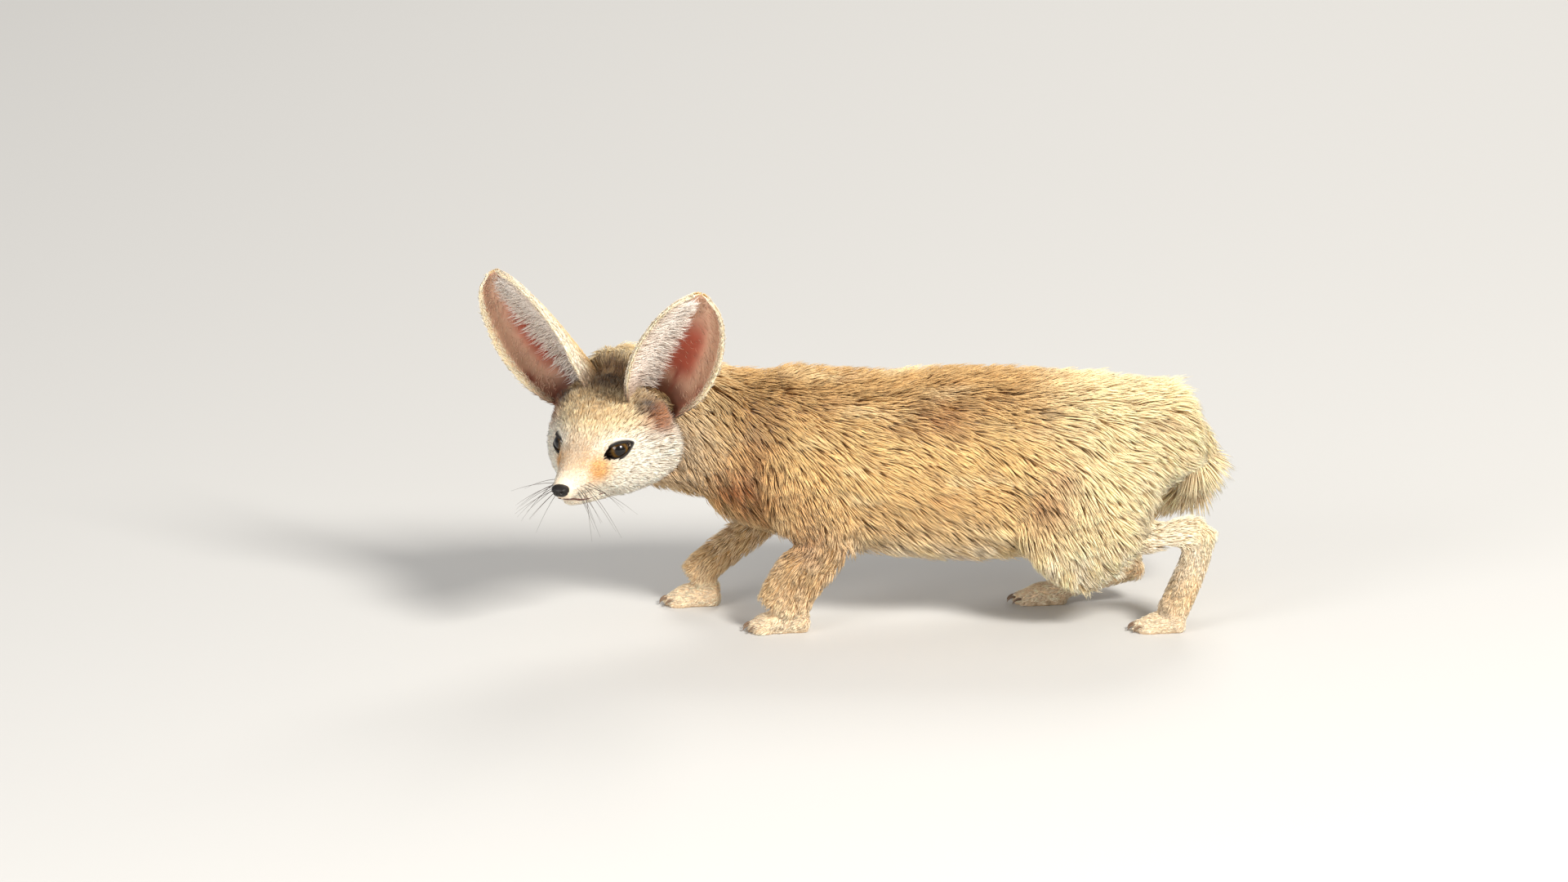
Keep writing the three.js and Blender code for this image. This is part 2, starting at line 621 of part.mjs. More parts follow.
// The brush: rings of locks that overlap like tiles, each ring turned half a lock past the last.
const BRUSH = { step: 28, around: 5, length: 44, width: 25 };
function tailLocks(from, to) {
  const locks = [];
  const rings = Math.round(((to - from) * TAIL_LENGTH) / BRUSH.step);
  for (let ring = 0; ring < rings; ring++) {
    const t = from + ((to - from) * (ring + 0.1)) / rings;
    for (let k = 0; k < BRUSH.around; k++) {
      const turn = (2 * Math.PI * (k + 0.5 * (ring % 2))) / BRUSH.around;
      const spine = tailSpine(t, turn, vary(BRUSH.length, 0.12));
      const rise = vary(brushRadius(t) - coreRadius(t), 0.1);
      locks.push(lock(spine, { width: BRUSH.width, rise, sunk: 3 }));
    }
  }
  return locks;
}

// A length of tail ends in flat faces square to its run, half the gap short of each cut.
function tailLength(from, to) {
  let body = joined([tailCore(from, to), ...tailLocks(from, to)]);
  for (const [t, way] of [[from, 1], [to, -1]].filter(([t]) => t > 0 && t < 1)) {
    const normal = tailPath.getTangentAt(t).multiplyScalar(way);
    body = body.trimByPlane(normal.toArray(), normal.dot(tailPath.getPointAt(t)) + GAP / 2);
  }
  return body;
}

// Nodes

const finish = {
  buff: new THREE.MeshStandardMaterial({ color: 0xd9b98a, roughness: 0.9, metalness: 0 }),
  cream: new THREE.MeshStandardMaterial({ color: 0xeadfc8, roughness: 0.9, metalness: 0 }),
  ear: new THREE.MeshStandardMaterial({ color: 0xe6cdb8, roughness: 0.85, metalness: 0 }),
  tip: new THREE.MeshStandardMaterial({ color: 0x3a2a1e, roughness: 0.9, metalness: 0 }),
  nose: new THREE.MeshStandardMaterial({ color: 0x17130f, roughness: 0.45, metalness: 0 }),
  eye: new THREE.MeshStandardMaterial({ color: 0x3d2410, roughness: 0.12, metalness: 0 }),
};
const fox = new THREE.Group();
function add(name, body, material) {
  const mesh = new THREE.Mesh(body.isBufferGeometry ? body : largest(body), material);
  mesh.name = name;
  fox.add(mesh);
}

// Head: the eyeballs sit in sockets behind lids, the mouth is the gap over the jaw.
const lids = SIDES.map(([, side]) => eyeball(side, LID_THICKNESS));
let head = joined([skull, nape, ...earFeet, ...lids]).add(cutBack(joined(ruff), [neck]));
for (const [, side] of SIDES) {
  head = head.subtract(solid(eyeball(side, GAP))).subtract(solid(lidOpening(side)));
}
add('head', cutBack(head, [nosePad]), finish.cream);
add('nose', nostrils.reduce((pad, hole) => pad.subtract(solid(hole)), solid(nosePad)), finish.nose);
add('jaw', cutBack(solid(jaw), [skull]), finish.cream);
for (const [name, side] of SIDES) {
  add(`eye_${name}`, eyeball(side), finish.eye);
  add(`ear_${name}`, cutBack(solid(ear(name, side)), [skull, nape, neck, ...earFeet]), finish.ear);
}

// The trunk with the tops of its legs is one body, parted by thin cuts.
const legTops = { shoulder: foreLegs, thigh: hindLegs };
const tops = Object.entries(legTops).flatMap(([part, legs]) => [legs.left[part], legs.right[part]]);
const trunk = joined([torso, neck, ...tops, ...bellyFringe, ...chestFringe]);
let middleTrunk = trunk.trimByPlane([1, 0, 0], NECK_CUT + GAP / 2);
const neckEnd = trunk.trimByPlane([-1, 0, 0], -(NECK_CUT - GAP / 2));
for (const [part, legs] of Object.entries(legTops)) {
  for (const [name, side] of SIDES) {
    add(`${part}_${name}`, middleTrunk.intersect(solid(legRegion(legs[name].region, side))), finish.buff);
    middleTrunk = middleTrunk.subtract(solid(legRegion(legs[name].region, side, GAP)));
  }
}
add('torso', middleTrunk, finish.buff);
add('neck', cutBack(neckEnd, [skull, nape, jaw, ...earFeet]), finish.buff);

for (const [name] of SIDES) {
  const fore = foreLegs[name];
  add(`forearm_${name}`, cutBack(solid(fore.forearm), [fore.shoulder, torso]), finish.cream);
  const forepaw = joined(pawPieces(fore)).subtract(solid(floor));
  add(`forepaw_${name}`, cutBack(forepaw, [fore.forearm]), finish.cream);
  const hind = hindLegs[name];
  add(`shank_${name}`, cutBack(solid(hind.shank), [hind.thigh, torso]), finish.cream);
  add(`hock_${name}`, cutBack(solid(hind.cannon), [hind.shank, hind.thigh]), finish.cream);
  const hindpaw = joined(pawPieces(hind)).subtract(solid(floor));
  add(`hindpaw_${name}`, cutBack(hindpaw, [hind.cannon]), finish.cream);
}

const rump = [torso, hindLegs.left.thigh, hindLegs.right.thigh];
for (const [k, name] of ['tail_base', 'tail_middle', 'tail_tip'].entries()) {
  const length = tailLength(TAIL_CUTS[k], TAIL_CUTS[k + 1]);
  add(name, cutBack(length, rump), name === 'tail_tip' ? finish.tip : finish.buff);
}

// The origin is the middle of the whole fox's box, on the floor.
const box = new THREE.Box3().setFromObject(fox);
const middle = box.getCenter(new THREE.Vector3());
fox.position.set(-middle.x, -middle.y, 0);

export default fox;
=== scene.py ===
# %% [markdown]
# # A fennec fox, life size and still
#
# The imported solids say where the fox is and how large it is. This script dresses them: one skin
# over the whole body, eyes with lids, a leathery nose, thin ears, claws, whiskers, and a coat of
# solid tufts that follows the lie of the real one.

import bmesh
import bpy
import numpy as np
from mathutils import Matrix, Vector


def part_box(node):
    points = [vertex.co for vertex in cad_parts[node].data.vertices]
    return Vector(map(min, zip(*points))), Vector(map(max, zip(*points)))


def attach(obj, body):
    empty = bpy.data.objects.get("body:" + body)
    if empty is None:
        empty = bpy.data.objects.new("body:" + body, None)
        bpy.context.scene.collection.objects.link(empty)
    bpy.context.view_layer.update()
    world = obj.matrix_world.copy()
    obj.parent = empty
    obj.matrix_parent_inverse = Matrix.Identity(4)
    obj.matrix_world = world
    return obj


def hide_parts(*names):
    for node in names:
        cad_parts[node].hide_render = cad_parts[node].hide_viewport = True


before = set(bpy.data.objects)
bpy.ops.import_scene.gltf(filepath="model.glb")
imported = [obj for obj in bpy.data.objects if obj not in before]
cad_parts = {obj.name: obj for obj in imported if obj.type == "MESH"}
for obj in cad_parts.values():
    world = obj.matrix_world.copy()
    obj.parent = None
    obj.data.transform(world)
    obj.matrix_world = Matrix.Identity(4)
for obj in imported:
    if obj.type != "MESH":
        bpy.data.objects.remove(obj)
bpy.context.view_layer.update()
print("nodes to dress:", len(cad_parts))

# %% [markdown]
# ## Where things are
#
# All shapes are worked out in millimetres, with the fox facing -X and its left side at -Y, the
# way its solids were drawn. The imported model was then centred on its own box, so the whole drawing
# is shifted. The eyes are the most exact landmark, so their boxes give the shift.

# %% Frames of reference
MM = 0.001
SIDES = ((1, "left"), (-1, "right"))

EYES_AT = np.array([-184.0, -60.0, 115.0])
HEAD_YAW = np.radians(64.0)
HEAD_PITCH = np.radians(6.0)
FORWARD = np.array([
    -np.cos(HEAD_YAW) * np.cos(HEAD_PITCH),
    -np.sin(HEAD_YAW) * np.cos(HEAD_PITCH),
    -np.sin(HEAD_PITCH),
])
LEFTWARD = np.array([np.sin(HEAD_YAW), -np.cos(HEAD_YAW), 0.0])
HEAD_AXES = np.array([FORWARD, LEFTWARD, np.cross(FORWARD, LEFTWARD)])


def from_head(points):
    """Head coordinates (to the nose, to the fox's left, up, from between the eyes) to the drawing's."""
    return EYES_AT + np.asarray(points, float) @ HEAD_AXES


def to_head(points):
    """The drawing's coordinates to head coordinates: the inverse of a turn is its transpose."""
    return (np.asarray(points, float) - EYES_AT) @ HEAD_AXES.T


EYE_CENTRE = np.array([-2.5, 15.5, -0.5])
EYE_RADIUS = 7.4
both_eyes = [np.mean([np.array(corner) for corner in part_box(f"eye_{side}")], axis=0)
             for side in ("left", "right")]
SHIFT = np.mean(both_eyes, axis=0) / MM - from_head(EYE_CENTRE * [1, 0, 1])
SHIFT[2] = 0.0
print("the drawing is shifted by", SHIFT.round(2), "mm")


def on_side(side, row):
    """A head-frame row given for the fox's left, for the left (side 1) or the right (side -1)."""
    return np.asarray(row, float) * [1, side, 1]


def unit(vectors):
    """Each vector divided by its length."""
    return vectors / np.maximum(np.linalg.norm(vectors, axis=-1, keepdims=True), 1e-9)


# %% Meshes from arrays
def new_piece(name, points, faces, smooth=True):
    """An object from an array of points in mm and an array of faces with equal corner counts."""
    mesh = bpy.data.meshes.new(name)
    corners = faces.shape[1]
    placed = (np.asarray(points) + SHIFT) * MM
    mesh.vertices.add(len(placed))
    mesh.vertices.foreach_set("co", placed.astype(np.float32).ravel())
    mesh.loops.add(faces.size)
    mesh.loops.foreach_set("vertex_index", faces.astype(np.int32).ravel())
    mesh.polygons.add(len(faces))
    mesh.polygons.foreach_set("loop_start", np.arange(0, faces.size, corners, dtype=np.int32))
    mesh.polygons.foreach_set("use_smooth", np.full(len(faces), smooth))
    mesh.update(calc_edges=True)
    piece = bpy.data.objects.new(name, mesh)
    bpy.context.scene.collection.objects.link(piece)
    return piece


def paint(piece, name, colours):
    """Stores one colour (linear red, green, blue) for each point of a piece."""
    layer = piece.data.attributes.new(name, "FLOAT_COLOR", "POINT")
    whole = np.ones((len(colours), 4), np.float32)
    whole[:, :3] = colours
    layer.data.foreach_set("color", whole.ravel())


def unwrap(piece, name, places):
    """Stores a UV map from one place (u, v) for each point of a piece."""
    corner_points = np.empty(len(piece.data.loops), np.int32)
    piece.data.loops.foreach_get("vertex_index", corner_points)
    layer = piece.data.uv_layers.new(name=name)
    layer.uv.foreach_set("vector", places[corner_points].astype(np.float32).ravel())


def weld(piece):
    """Joins the points of a piece that share one place, as those of a pole or a tip do."""
    whole = bmesh.new()
    whole.from_mesh(piece.data)
    bmesh.ops.remove_doubles(whole, verts=whole.verts, dist=1e-6)
    whole.to_mesh(piece.data)
    whole.free()


def grid_faces(rows, columns, round_rows=False, round_columns=False):
    """The four-cornered faces of a grid of points, joined end to start along either way if round."""
    down = np.arange(rows if round_rows else rows - 1)[:, None]
    over = np.arange(columns if round_columns else columns - 1)[None, :]
    below = (down + 1) % rows
    beside = (over + 1) % columns
    corners = [down * columns + over, down * columns + beside,
               below * columns + beside, below * columns + over]
    return np.stack(np.broadcast_arrays(*corners), axis=-1).reshape(-1, 4)


# %% [markdown]
# ## Flesh as lofts
#
# Under the coat a fox is a row of soft tubes: trunk, neck, skull, limbs and tail. Each could be
# sculpted by hand, but its solid is a loft already, a ring carried along a smooth path through a
# few stations, so the same stations make the flesh here, with finer rings. A station holds the
# ring's middle, its half width, and how far it reaches towards a chosen "rise" and away from it.

# %% Lofts
CAP_STEPS = 7


def smooth_through(rows, t):
    """Points on a smooth curve through rows, at shares t of the way from the first to the last.

    Between two rows the curve is the cubic that leaves each with half the step between that row's
    neighbours as its slope. The rows before the first and after the last continue the end steps.
    """
    rows = np.asarray(rows, float)
    padded = np.vstack([2 * rows[0] - rows[1], rows, 2 * rows[-1] - rows[-2]])
    place = np.clip(t, 0, 1) * (len(rows) - 1)
    k = np.minimum(place.astype(int), len(rows) - 2)
    w = (place - k)[:, None]
    before, start, end, after = padded[k], padded[k + 1], padded[k + 2], padded[k + 3]
    slope_in, slope_out = 0.5 * (end - before), 0.5 * (after - start)
    return ((2 * w**3 - 3 * w**2 + 1) * start + (w**3 - 2 * w**2 + w) * slope_in
            + (3 * w**2 - 2 * w**3) * end + (w**3 - w**2) * slope_out)


def path_of(rows, t):
    """Positions and unit directions along the smooth path through the rows' first three numbers."""
    rows = np.asarray(rows, float)[:, :3]
    step = 1e-3
    ahead = smooth_through(rows, np.minimum(t + step, 1))
    behind = smooth_through(rows, np.maximum(t - step, 0))
    return smooth_through(rows, t), unit(ahead - behind)


def full_rows(stations):
    """Stations as an array: one that gives a single reach has it both ways."""
    return np.array([list(s) + [s[4]] * (6 - len(s)) for s in stations], float)


def loft(rows, rise, sides=40, steps=30, ends=(4, 4), full=2.0):
    """A closed tube: points (rings x sides) and faces.

    Ring point = middle + side * half width * C + up * reach * S, where C and S are the cosine and
    sine of the ring angle raised to 2 / full with their signs kept, up is the rise made square to
    the path, and side = up x path. Past each end the rings shrink as the cosine of a quarter turn
    and move on by its sine times the end's length, which closes the tube with a half ellipsoid.
    """
    turn = np.linspace(0, np.pi / 2, CAP_STEPS + 1)[1:]
    t = np.concatenate([np.zeros(CAP_STEPS), np.linspace(0, 1, steps + 1), np.ones(CAP_STEPS)])
    beyond = np.concatenate([-ends[0] * np.sin(turn[::-1]), np.zeros(steps + 1), ends[1] * np.sin(turn)])
    scale = np.concatenate([np.cos(turn[::-1]), np.ones(steps + 1), np.cos(turn)])[:, None, None]
    middle, along = path_of(rows, t)
    reach = smooth_through(rows[:, 3:], t)
    up = unit(np.asarray(rise, float) - along * (along @ np.asarray(rise, float))[:, None])
    side = np.cross(up, along)
    angle = np.linspace(0, 2 * np.pi, sides, endpoint=False)
    c = np.sign(np.cos(angle)) * np.abs(np.cos(angle)) ** (2 / full)
    s = np.sign(np.sin(angle)) * np.abs(np.sin(angle)) ** (2 / full)
    over = np.where(s > 0, reach[:, 1:2], reach[:, 2:3]) * s
    across = reach[:, 0:1] * c
    ring = side[:, None, :] * across[..., None] + up[:, None, :] * over[..., None]
    points = (middle + along * beyond[:, None])[:, None, :] + ring * scale
    return points.reshape(-1, 3), grid_faces(len(t), sides, round_columns=True)


def ball(centre, radii, rings=24, sides=32):
    """An ellipsoid: centre + radii * (sin a cos b, sin a sin b, cos a) over the two angles."""
    a = np.linspace(0, np.pi, rings)[:, None]
    b = np.linspace(0, 2 * np.pi, sides, endpoint=False)[None, :]
    way = np.stack([np.sin(a) * np.cos(b), np.sin(a) * np.sin(b), np.cos(a) + 0 * b], axis=-1)
    points = np.asarray(centre) + way * radii
    return points.reshape(-1, 3), grid_faces(rings, sides, round_columns=True)


# %% Stations of the trunk and neck
BACK = 145
BELLY = 34
HALF_WIDTH = 46
STANCE = 28


def trunk_row(x, top, bottom, half_width):
    """A station of the trunk from its top and bottom heights."""
    return [x, 0, (top + bottom) / 2, half_width * HALF_WIDTH, (top - bottom) / 2]


TORSO = [
    trunk_row(-112, BACK + 1, 66, 0.68), trunk_row(-92, BACK + 1, 54, 0.8),
    trunk_row(-62, BACK, BELLY + 12, 0.92), trunk_row(-20, BACK - 2, BELLY + 3, 0.98),
    trunk_row(25, BACK, BELLY, 1), trunk_row(65, BACK - 1, BELLY + 6, 1),
    trunk_row(102, BACK - 2, 56, 0.96), trunk_row(138, BACK - 6, 82, 0.72),
]
NECK = [
    [-94, 0, 102, 31, 41, 37], [-118, -2, 106, 31, 42, 36],
    [-142, -9, 114, 31, 42, 36], [-160, -22, 118, 25, 34, 32],
]
print("the trunk has", len(TORSO), "stations and the neck", len(NECK))

# %% Stations of the head, in its own frame
SKULL_ROWS = [
    [-52, 24, -26, 28, -2], [-42, 33, -33, 37, -7], [-28, 33, -35, 40, -10], [-14, 29, -34, 35, -10],
    [-3, 20, -31, 27, -9], [6, 11, -27, 19.5, -9], [14, 4.5, -24.5, 13.5, -10], [23, -1, -22.5, 10, -12],
    [31, -5.5, -21, 8, -13.5], [36, -8.5, -19.5, 6.2, -14],
]
JAW_ROWS = [
    [-34, -22, -36, 17, -28], [-18, -20, -35, 15, -27], [-2, -19, -32.5, 12, -26],
    [12, -19, -29.5, 8.8, -24.5], [22, -18.5, -27, 6.6, -23], [28, -18, -25, 5, -22],
]


def profile(rows):
    """Stations from [x, top, bottom, half width, height of the widest line]."""
    return [[x, 0, z, wide, top - z, z - bottom] for x, top, bottom, wide, z in rows]


print("the skull has", len(SKULL_ROWS), "stations and the jaw", len(JAW_ROWS))


# %% Stations of the legs
# Each part of a leg has its stations, its rise, and the lengths of its two round ends. The heel
# and the toes give the paw's place on the floor, and paw its half width.
AHEAD = [-1, 0, 0]
UPRIGHT = [0, 0, 1]
LEGS = {
    "fore_left": {
        "shoulder": ([[-82, -22, 100, 20, 22], [-67, -25, 78, 20, 26],
                      [-50, -28, 59, 14.5, 18]], AHEAD, (14, 8)),
        "forearm": ([[-50, -29, 56, 13, 17], [-61, -29, 42, 12, 17], [-72, -29, 27, 11, 16],
                     [-79, -29, 14, 10.5, 15]], AHEAD, (6, 4)),
        "heel": [-66, -STANCE, 9], "toes": [-92, -STANCE - 1], "paw": 11,
    },
    "fore_right": {
        "shoulder": ([[-88, 18, 98, 18, 20], [-82, 21, 82, 18, 20],
                      [-75, 24, 67, 13, 15]], AHEAD, (14, 8)),
        "forearm": ([[-74, 25, 65, 11.5, 14], [-92, 25, 48, 10, 12.5], [-112, 25, 31, 9, 11],
                     [-127, 25, 18, 9, 10]], AHEAD, (6, 4)),
        "heel": [-116, STANCE - 3, 9], "toes": [-139, STANCE - 3], "paw": 9.5,
    },
    "hind_left": {
        "thigh": ([[112, -18, 106, 20, 25], [104, -25, 92, 25, 38, 32], [88, -28, 69, 25, 49, 40],
                   [68, -28, 50, 20, 34, 35]], AHEAD, (12, 14)),
        "shank": ([[96, -30, 50, 13, 14], [122, -30, 54, 10, 11.5], [142, -30, 58, 8, 9.5],
                   [152, -30, 58, 7.5, 9]], UPRIGHT, (6, 5)),
        "cannon": ([[154, -30, 57, 7.5, 10], [150, -30, 40, 7, 9.5], [144, -30, 24, 7, 9.5],
                    [139, -29, 12, 8, 9.5]], AHEAD, (6, 4)),
        "heel": [143, -STANCE - 1, 8], "toes": [122, -STANCE - 1], "paw": 9.5,
    },
    "hind_right": {
        "thigh": ([[112, 18, 106, 20, 25], [98, 23, 98, 23, 36], [76, 27, 82, 20, 36],
                   [60, 28, 68, 17, 28]], AHEAD, (12, 12)),
        "shank": ([[54, 29, 62, 13, 16], [78, 28, 50, 12, 14], [102, 28, 36, 8.5, 10],
                   [118, 28, 26, 7.5, 8.5]], UPRIGHT, (8, 4)),
        "cannon": ([[120, 28, 22, 7.5, 8.5], [104, 28, 17, 7, 8], [88, 28, 12.5, 7, 8],
                    [76, 28, 9.5, 7.5, 7.5]], UPRIGHT, (5, 3)),
        "heel": [79, STANCE, 8], "toes": [56, STANCE], "paw": 9.5,
    },
}
# How far each toe lies to the side, in toe widths, and how far ahead of the middle toes, in mm.
TOE_SPREAD = [(-1.5, -3), (-0.5, 0), (0.5, 0), (1.5, -3)]
TOE_RISE = 3.0
SOLE_SINK = 1.2


def paw_rows(leg):
    """Stations of a paw from its heel to its toes; the round form sinks a little below the floor."""
    (x, y, height), (toe_x, toe_y), half = leg["heel"], leg["toes"], leg["paw"]
    return [
        [x, y, height - SOLE_SINK, 0.8 * half, height],
        [x - 0.5 * (x - toe_x), y, 0.85 * height - SOLE_SINK, half, 0.85 * height],
        [toe_x + 2, toe_y, 0.6 * height - SOLE_SINK, 0.85 * half, 0.6 * height],
    ]


def toe_centres(leg):
    """Where the four toes of a paw lie."""
    toe_x, toe_y = leg["toes"]
    return np.array([[toe_x - lead, toe_y + spread * 0.48 * leg["paw"], TOE_RISE]
                     for spread, lead in TOE_SPREAD])


print(len(LEGS), "legs, each with", len(TOE_SPREAD), "toes")


# %% Stations of the tail
# The flesh is a thin core: radius = a share of the brush's * (0.62 + 0.9 t (1.25 - t)), with t from
# 0 at the rump to 1 at the tip. The coat makes up the rest of the brush.
TAIL_PATH = [
    [130, 0, 122], [146, 2, 117], [151, 8, 100], [150, 26, 79],
    [140, 52, 64], [117, 73, 59], [90, 79, 60], [64, 77, 65],
]
BRUSH_RADIUS = 20
TAIL_CORE_SHARE = 0.62
tail_t = np.linspace(0, 1, 12)
tail_core = TAIL_CORE_SHARE * BRUSH_RADIUS * (0.62 + 0.9 * tail_t * (1.25 - tail_t))
TAIL = np.column_stack([smooth_through(TAIL_PATH, tail_t), tail_core, tail_core])
tail_length = np.linalg.norm(np.diff(TAIL[:, :3], axis=0), axis=1).sum()
print("the tail is", tail_length.round(), "mm long without its last tufts")

# %% [markdown]
# ## One skin
#
# Seams between the solids mustn't show, so all lofts are joined and rebuilt as one surface by a
# voxel remesh. It could be modelled as one net by hand, but the remesh fuses any set of closed
# forms. The skin then relaxes, which rounds the creases between the forms, and sinks by the
# depth of the coat at each place, because the solids reach to the tips of the hair.

# %% What grows where
# Each part says how its coat is at its first and its last station:
# [depth under the tips, hair length, tuft width, droop], all in mm but the last.
# The lie is the way the hair points, or None where it runs along the part towards its last station.
COATS = {
    "torso": ([7.5, 15, 0.8, 0.5], [7.5, 16, 0.82, 0.35], [1, 0, -0.1], [1, 0, -0.15]),
    "neck": ([8, 15, 0.78, 0.9], [6.5, 12, 0.7, 0.8], [0.8, -0.05, -0.5], [0.75, -0.1, -0.5]),
    "skull": ([6, 10, 0.65, 0.4], [0.7, 2.2, 0.36, 0.0], None, None),
    "jaw": ([4, 8, 0.6, 0.3], [0.8, 2.4, 0.36, 0.0], [0.436, 0.894, 0.0], [0.436, 0.894, 0.1]),
    "shoulder": ([6.5, 13, 0.8, 0.6], [4, 11, 0.72, 0.3], [0.55, 0, -0.8], [0.35, 0, -1]),
    "forearm": ([4, 10, 0.7, 0.1], [1.9, 5, 0.55, 0.0], None, None),
    "thigh": ([7, 15, 0.82, 0.2], [6.5, 14, 0.8, 0.5], [1, 0, -0.3], [0.55, 0, -0.85]),
    "shank": ([4, 9, 0.7, 0.1], [1.6, 4.6, 0.5, 0.0], None, None),
    "cannon": ([1.6, 4.4, 0.5, 0.0], [1.4, 3.8, 0.45, 0.0], None, None),
    "paw": ([1.3, 3.6, 0.45, 0.0], [0.8, 2.8, 0.4, 0.0], None, None),
    "tail": ([0.5, 19, 0.75, 0.0], [0.5, 27, 0.85, 0.0], None, None),
}
PARTS = list(COATS)
LOWER_LEG = ("forearm", "shank", "cannon", "paw")
GUIDES_A_FORM = 9
forms = []
axes = []
guides = {key: [] for key in ("at", "lie", "radius", "coat", "part", "form")}


def is_part(part, *names):
    """Where an array of part numbers is one of the named parts."""
    return np.isin(part, [PARTS.index(name) for name in names])


def between(start, end, share):
    """Rows that go evenly from one row of numbers to another, one for each share."""
    share = share[:, None]
    return (1 - share) * np.array(start, float) + share * np.array(end, float)


def add_form(part, stations, rise, ends, full=2.0, steps=30, sides=40, in_head=False):
    """Adds a loft to the flesh, with guide points along its path that say how its coat grows."""
    rows = full_rows(stations)
    points, faces = loft(rows, rise, sides, steps, ends, full)
    share = np.linspace(0, 1, GUIDES_A_FORM)
    at, along = path_of(rows, share)
    radius = smooth_through(rows[:, 3:], share).mean(axis=1)
    if in_head:
        points, at, along = from_head(points), from_head(at), along @ HEAD_AXES
    coat_start, coat_end, lie_start, lie_end = COATS[part]
    lie = along if lie_start is None else unit(between(lie_start, lie_end, share))
    forms.append((points, faces))
    axes.append((rows, rise, in_head))
    guides["at"].append(at)
    guides["form"].append(np.full(len(share), len(axes) - 1))
    guides["lie"].append(lie)
    guides["radius"].append(radius)
    guides["coat"].append(between(coat_start, coat_end, share))
    guides["part"].append(np.full(len(share), PARTS.index(part)))


add_form("torso", TORSO, UPRIGHT, (12, 18), full=2.15, steps=80, sides=72)
add_form("neck", NECK, UPRIGHT, (10, 5), steps=40, sides=60)
add_form("skull", profile(SKULL_ROWS), UPRIGHT, (12, 2.5), steps=80, sides=72, in_head=True)
add_form("jaw", profile(JAW_ROWS), UPRIGHT, (6, 2.5), steps=40, in_head=True)
add_form("tail", TAIL, [0.1, 0.2, 1], (5, 9), steps=70, sides=32)
for leg in LEGS.values():
    for part in ("shoulder", "forearm", "thigh", "shank", "cannon"):
        if part in leg:
            stations, rise, ends = leg[part]
            add_form(part, stations, rise, ends)
    add_form("paw", paw_rows(leg), UPRIGHT, (4, 3))
    forms += [ball(centre, [6.2, 0.29 * leg["paw"], 4.4]) for centre in toe_centres(leg)]
# Middles and radii of the balls that fill the nape and the foot of each ear, in the head's frame.
NAPE = ([-46, 0, 29], [19, 24, 18])
EAR_FOOT = ([-28, 25.5, 9.5], [11, 9.5, 10.5])
head_balls = [ball(*NAPE)]
for side in (1, -1):
    head_balls.append(ball(on_side(side, EAR_FOOT[0]), EAR_FOOT[1]))
    head_balls.append(ball(on_side(side, EYE_CENTRE), [EYE_RADIUS + 0.4] * 3))
forms += [(from_head(points), faces) for points, faces in head_balls]
guides = {key: np.concatenate(rows) for key, rows in guides.items()}
print(len(forms), "forms and", len(guides["at"]), "guide points")


# %% Fuse the forms
# The voxel's edge in mm: fine enough for the toes, with the skin still under 200,000 triangles.
VOXEL = 1.62


def fused(all_forms):
    """The joined outer surface of many closed forms, as points in mm and four-cornered faces."""
    starts = np.cumsum([0] + [len(points) for points, _ in all_forms[:-1]])
    points = np.concatenate([points for points, _ in all_forms])
    faces = np.concatenate([faces + start for (_, faces), start in zip(all_forms, starts)])
    rough = new_piece("rough_flesh", points, faces)
    remesh = rough.modifiers.new("fuse", "REMESH")
    remesh.mode = "VOXEL"
    remesh.voxel_size = VOXEL * MM
    view = bpy.context.evaluated_depsgraph_get()
    mesh = bpy.data.meshes.new_from_object(rough.evaluated_get(view))
    out = np.empty(len(mesh.vertices) * 3, np.float32)
    mesh.vertices.foreach_get("co", out)
    corners = np.empty(len(mesh.loops), np.int32)
    mesh.loops.foreach_get("vertex_index", corners)
    bpy.data.objects.remove(rough)
    bpy.data.meshes.remove(mesh)
    return out.reshape(-1, 3) / MM - SHIFT, corners.reshape(-1, 4)


skin_points, skin_faces = fused(forms)
print("skin:", len(skin_points), "points", len(skin_faces), "faces")


# %% Relax and measure the surface
STEP_BACK = 1.03


def neighbour_mean(values, edges):
    """For each point, the mean of a value over the points it shares an edge with."""
    count = np.bincount(edges.ravel(), minlength=len(values))
    total = np.stack([
        np.bincount(edges[:, 0], values[edges[:, 1], k], len(values))
        + np.bincount(edges[:, 1], values[edges[:, 0], k], len(values))
        for k in range(values.shape[1])], axis=1)
    return total / np.maximum(count, 1)[:, None]


def relaxed(points, edges, rounds, amount):
    """Moves each point towards its neighbours' mean by amount, then back by a little more.

    The step back keeps the form from shrinking, so only creases and steps are smoothed.
    """
    for _ in range(rounds):
        points = points + amount * (neighbour_mean(points, edges) - points)
        points = points - STEP_BACK * amount * (neighbour_mean(points, edges) - points)
    return points


def face_normals(points, faces):
    """The unit direction square to the two diagonals of each four-cornered face."""
    corner = points[faces]
    return unit(np.cross(corner[:, 2] - corner[:, 0], corner[:, 3] - corner[:, 1]))


def point_normals(points, faces):
    """The mean direction of the faces round each point."""
    flat = np.repeat(face_normals(points, faces), faces.shape[1], axis=0)
    total = [np.bincount(faces.ravel(), flat[:, k], len(points)) for k in range(3)]
    return unit(np.stack(total, axis=1))


skin_edges = np.unique(np.sort(np.concatenate(
    [skin_faces[:, [k, (k + 1) % 4]] for k in range(4)]), axis=1), axis=0)


def fade(value, start, end):
    """0 before start, 1 after end, and a smooth step between."""
    share = np.clip((value - start) / (end - start), 0, 1)
    return share * share * (3 - 2 * share)


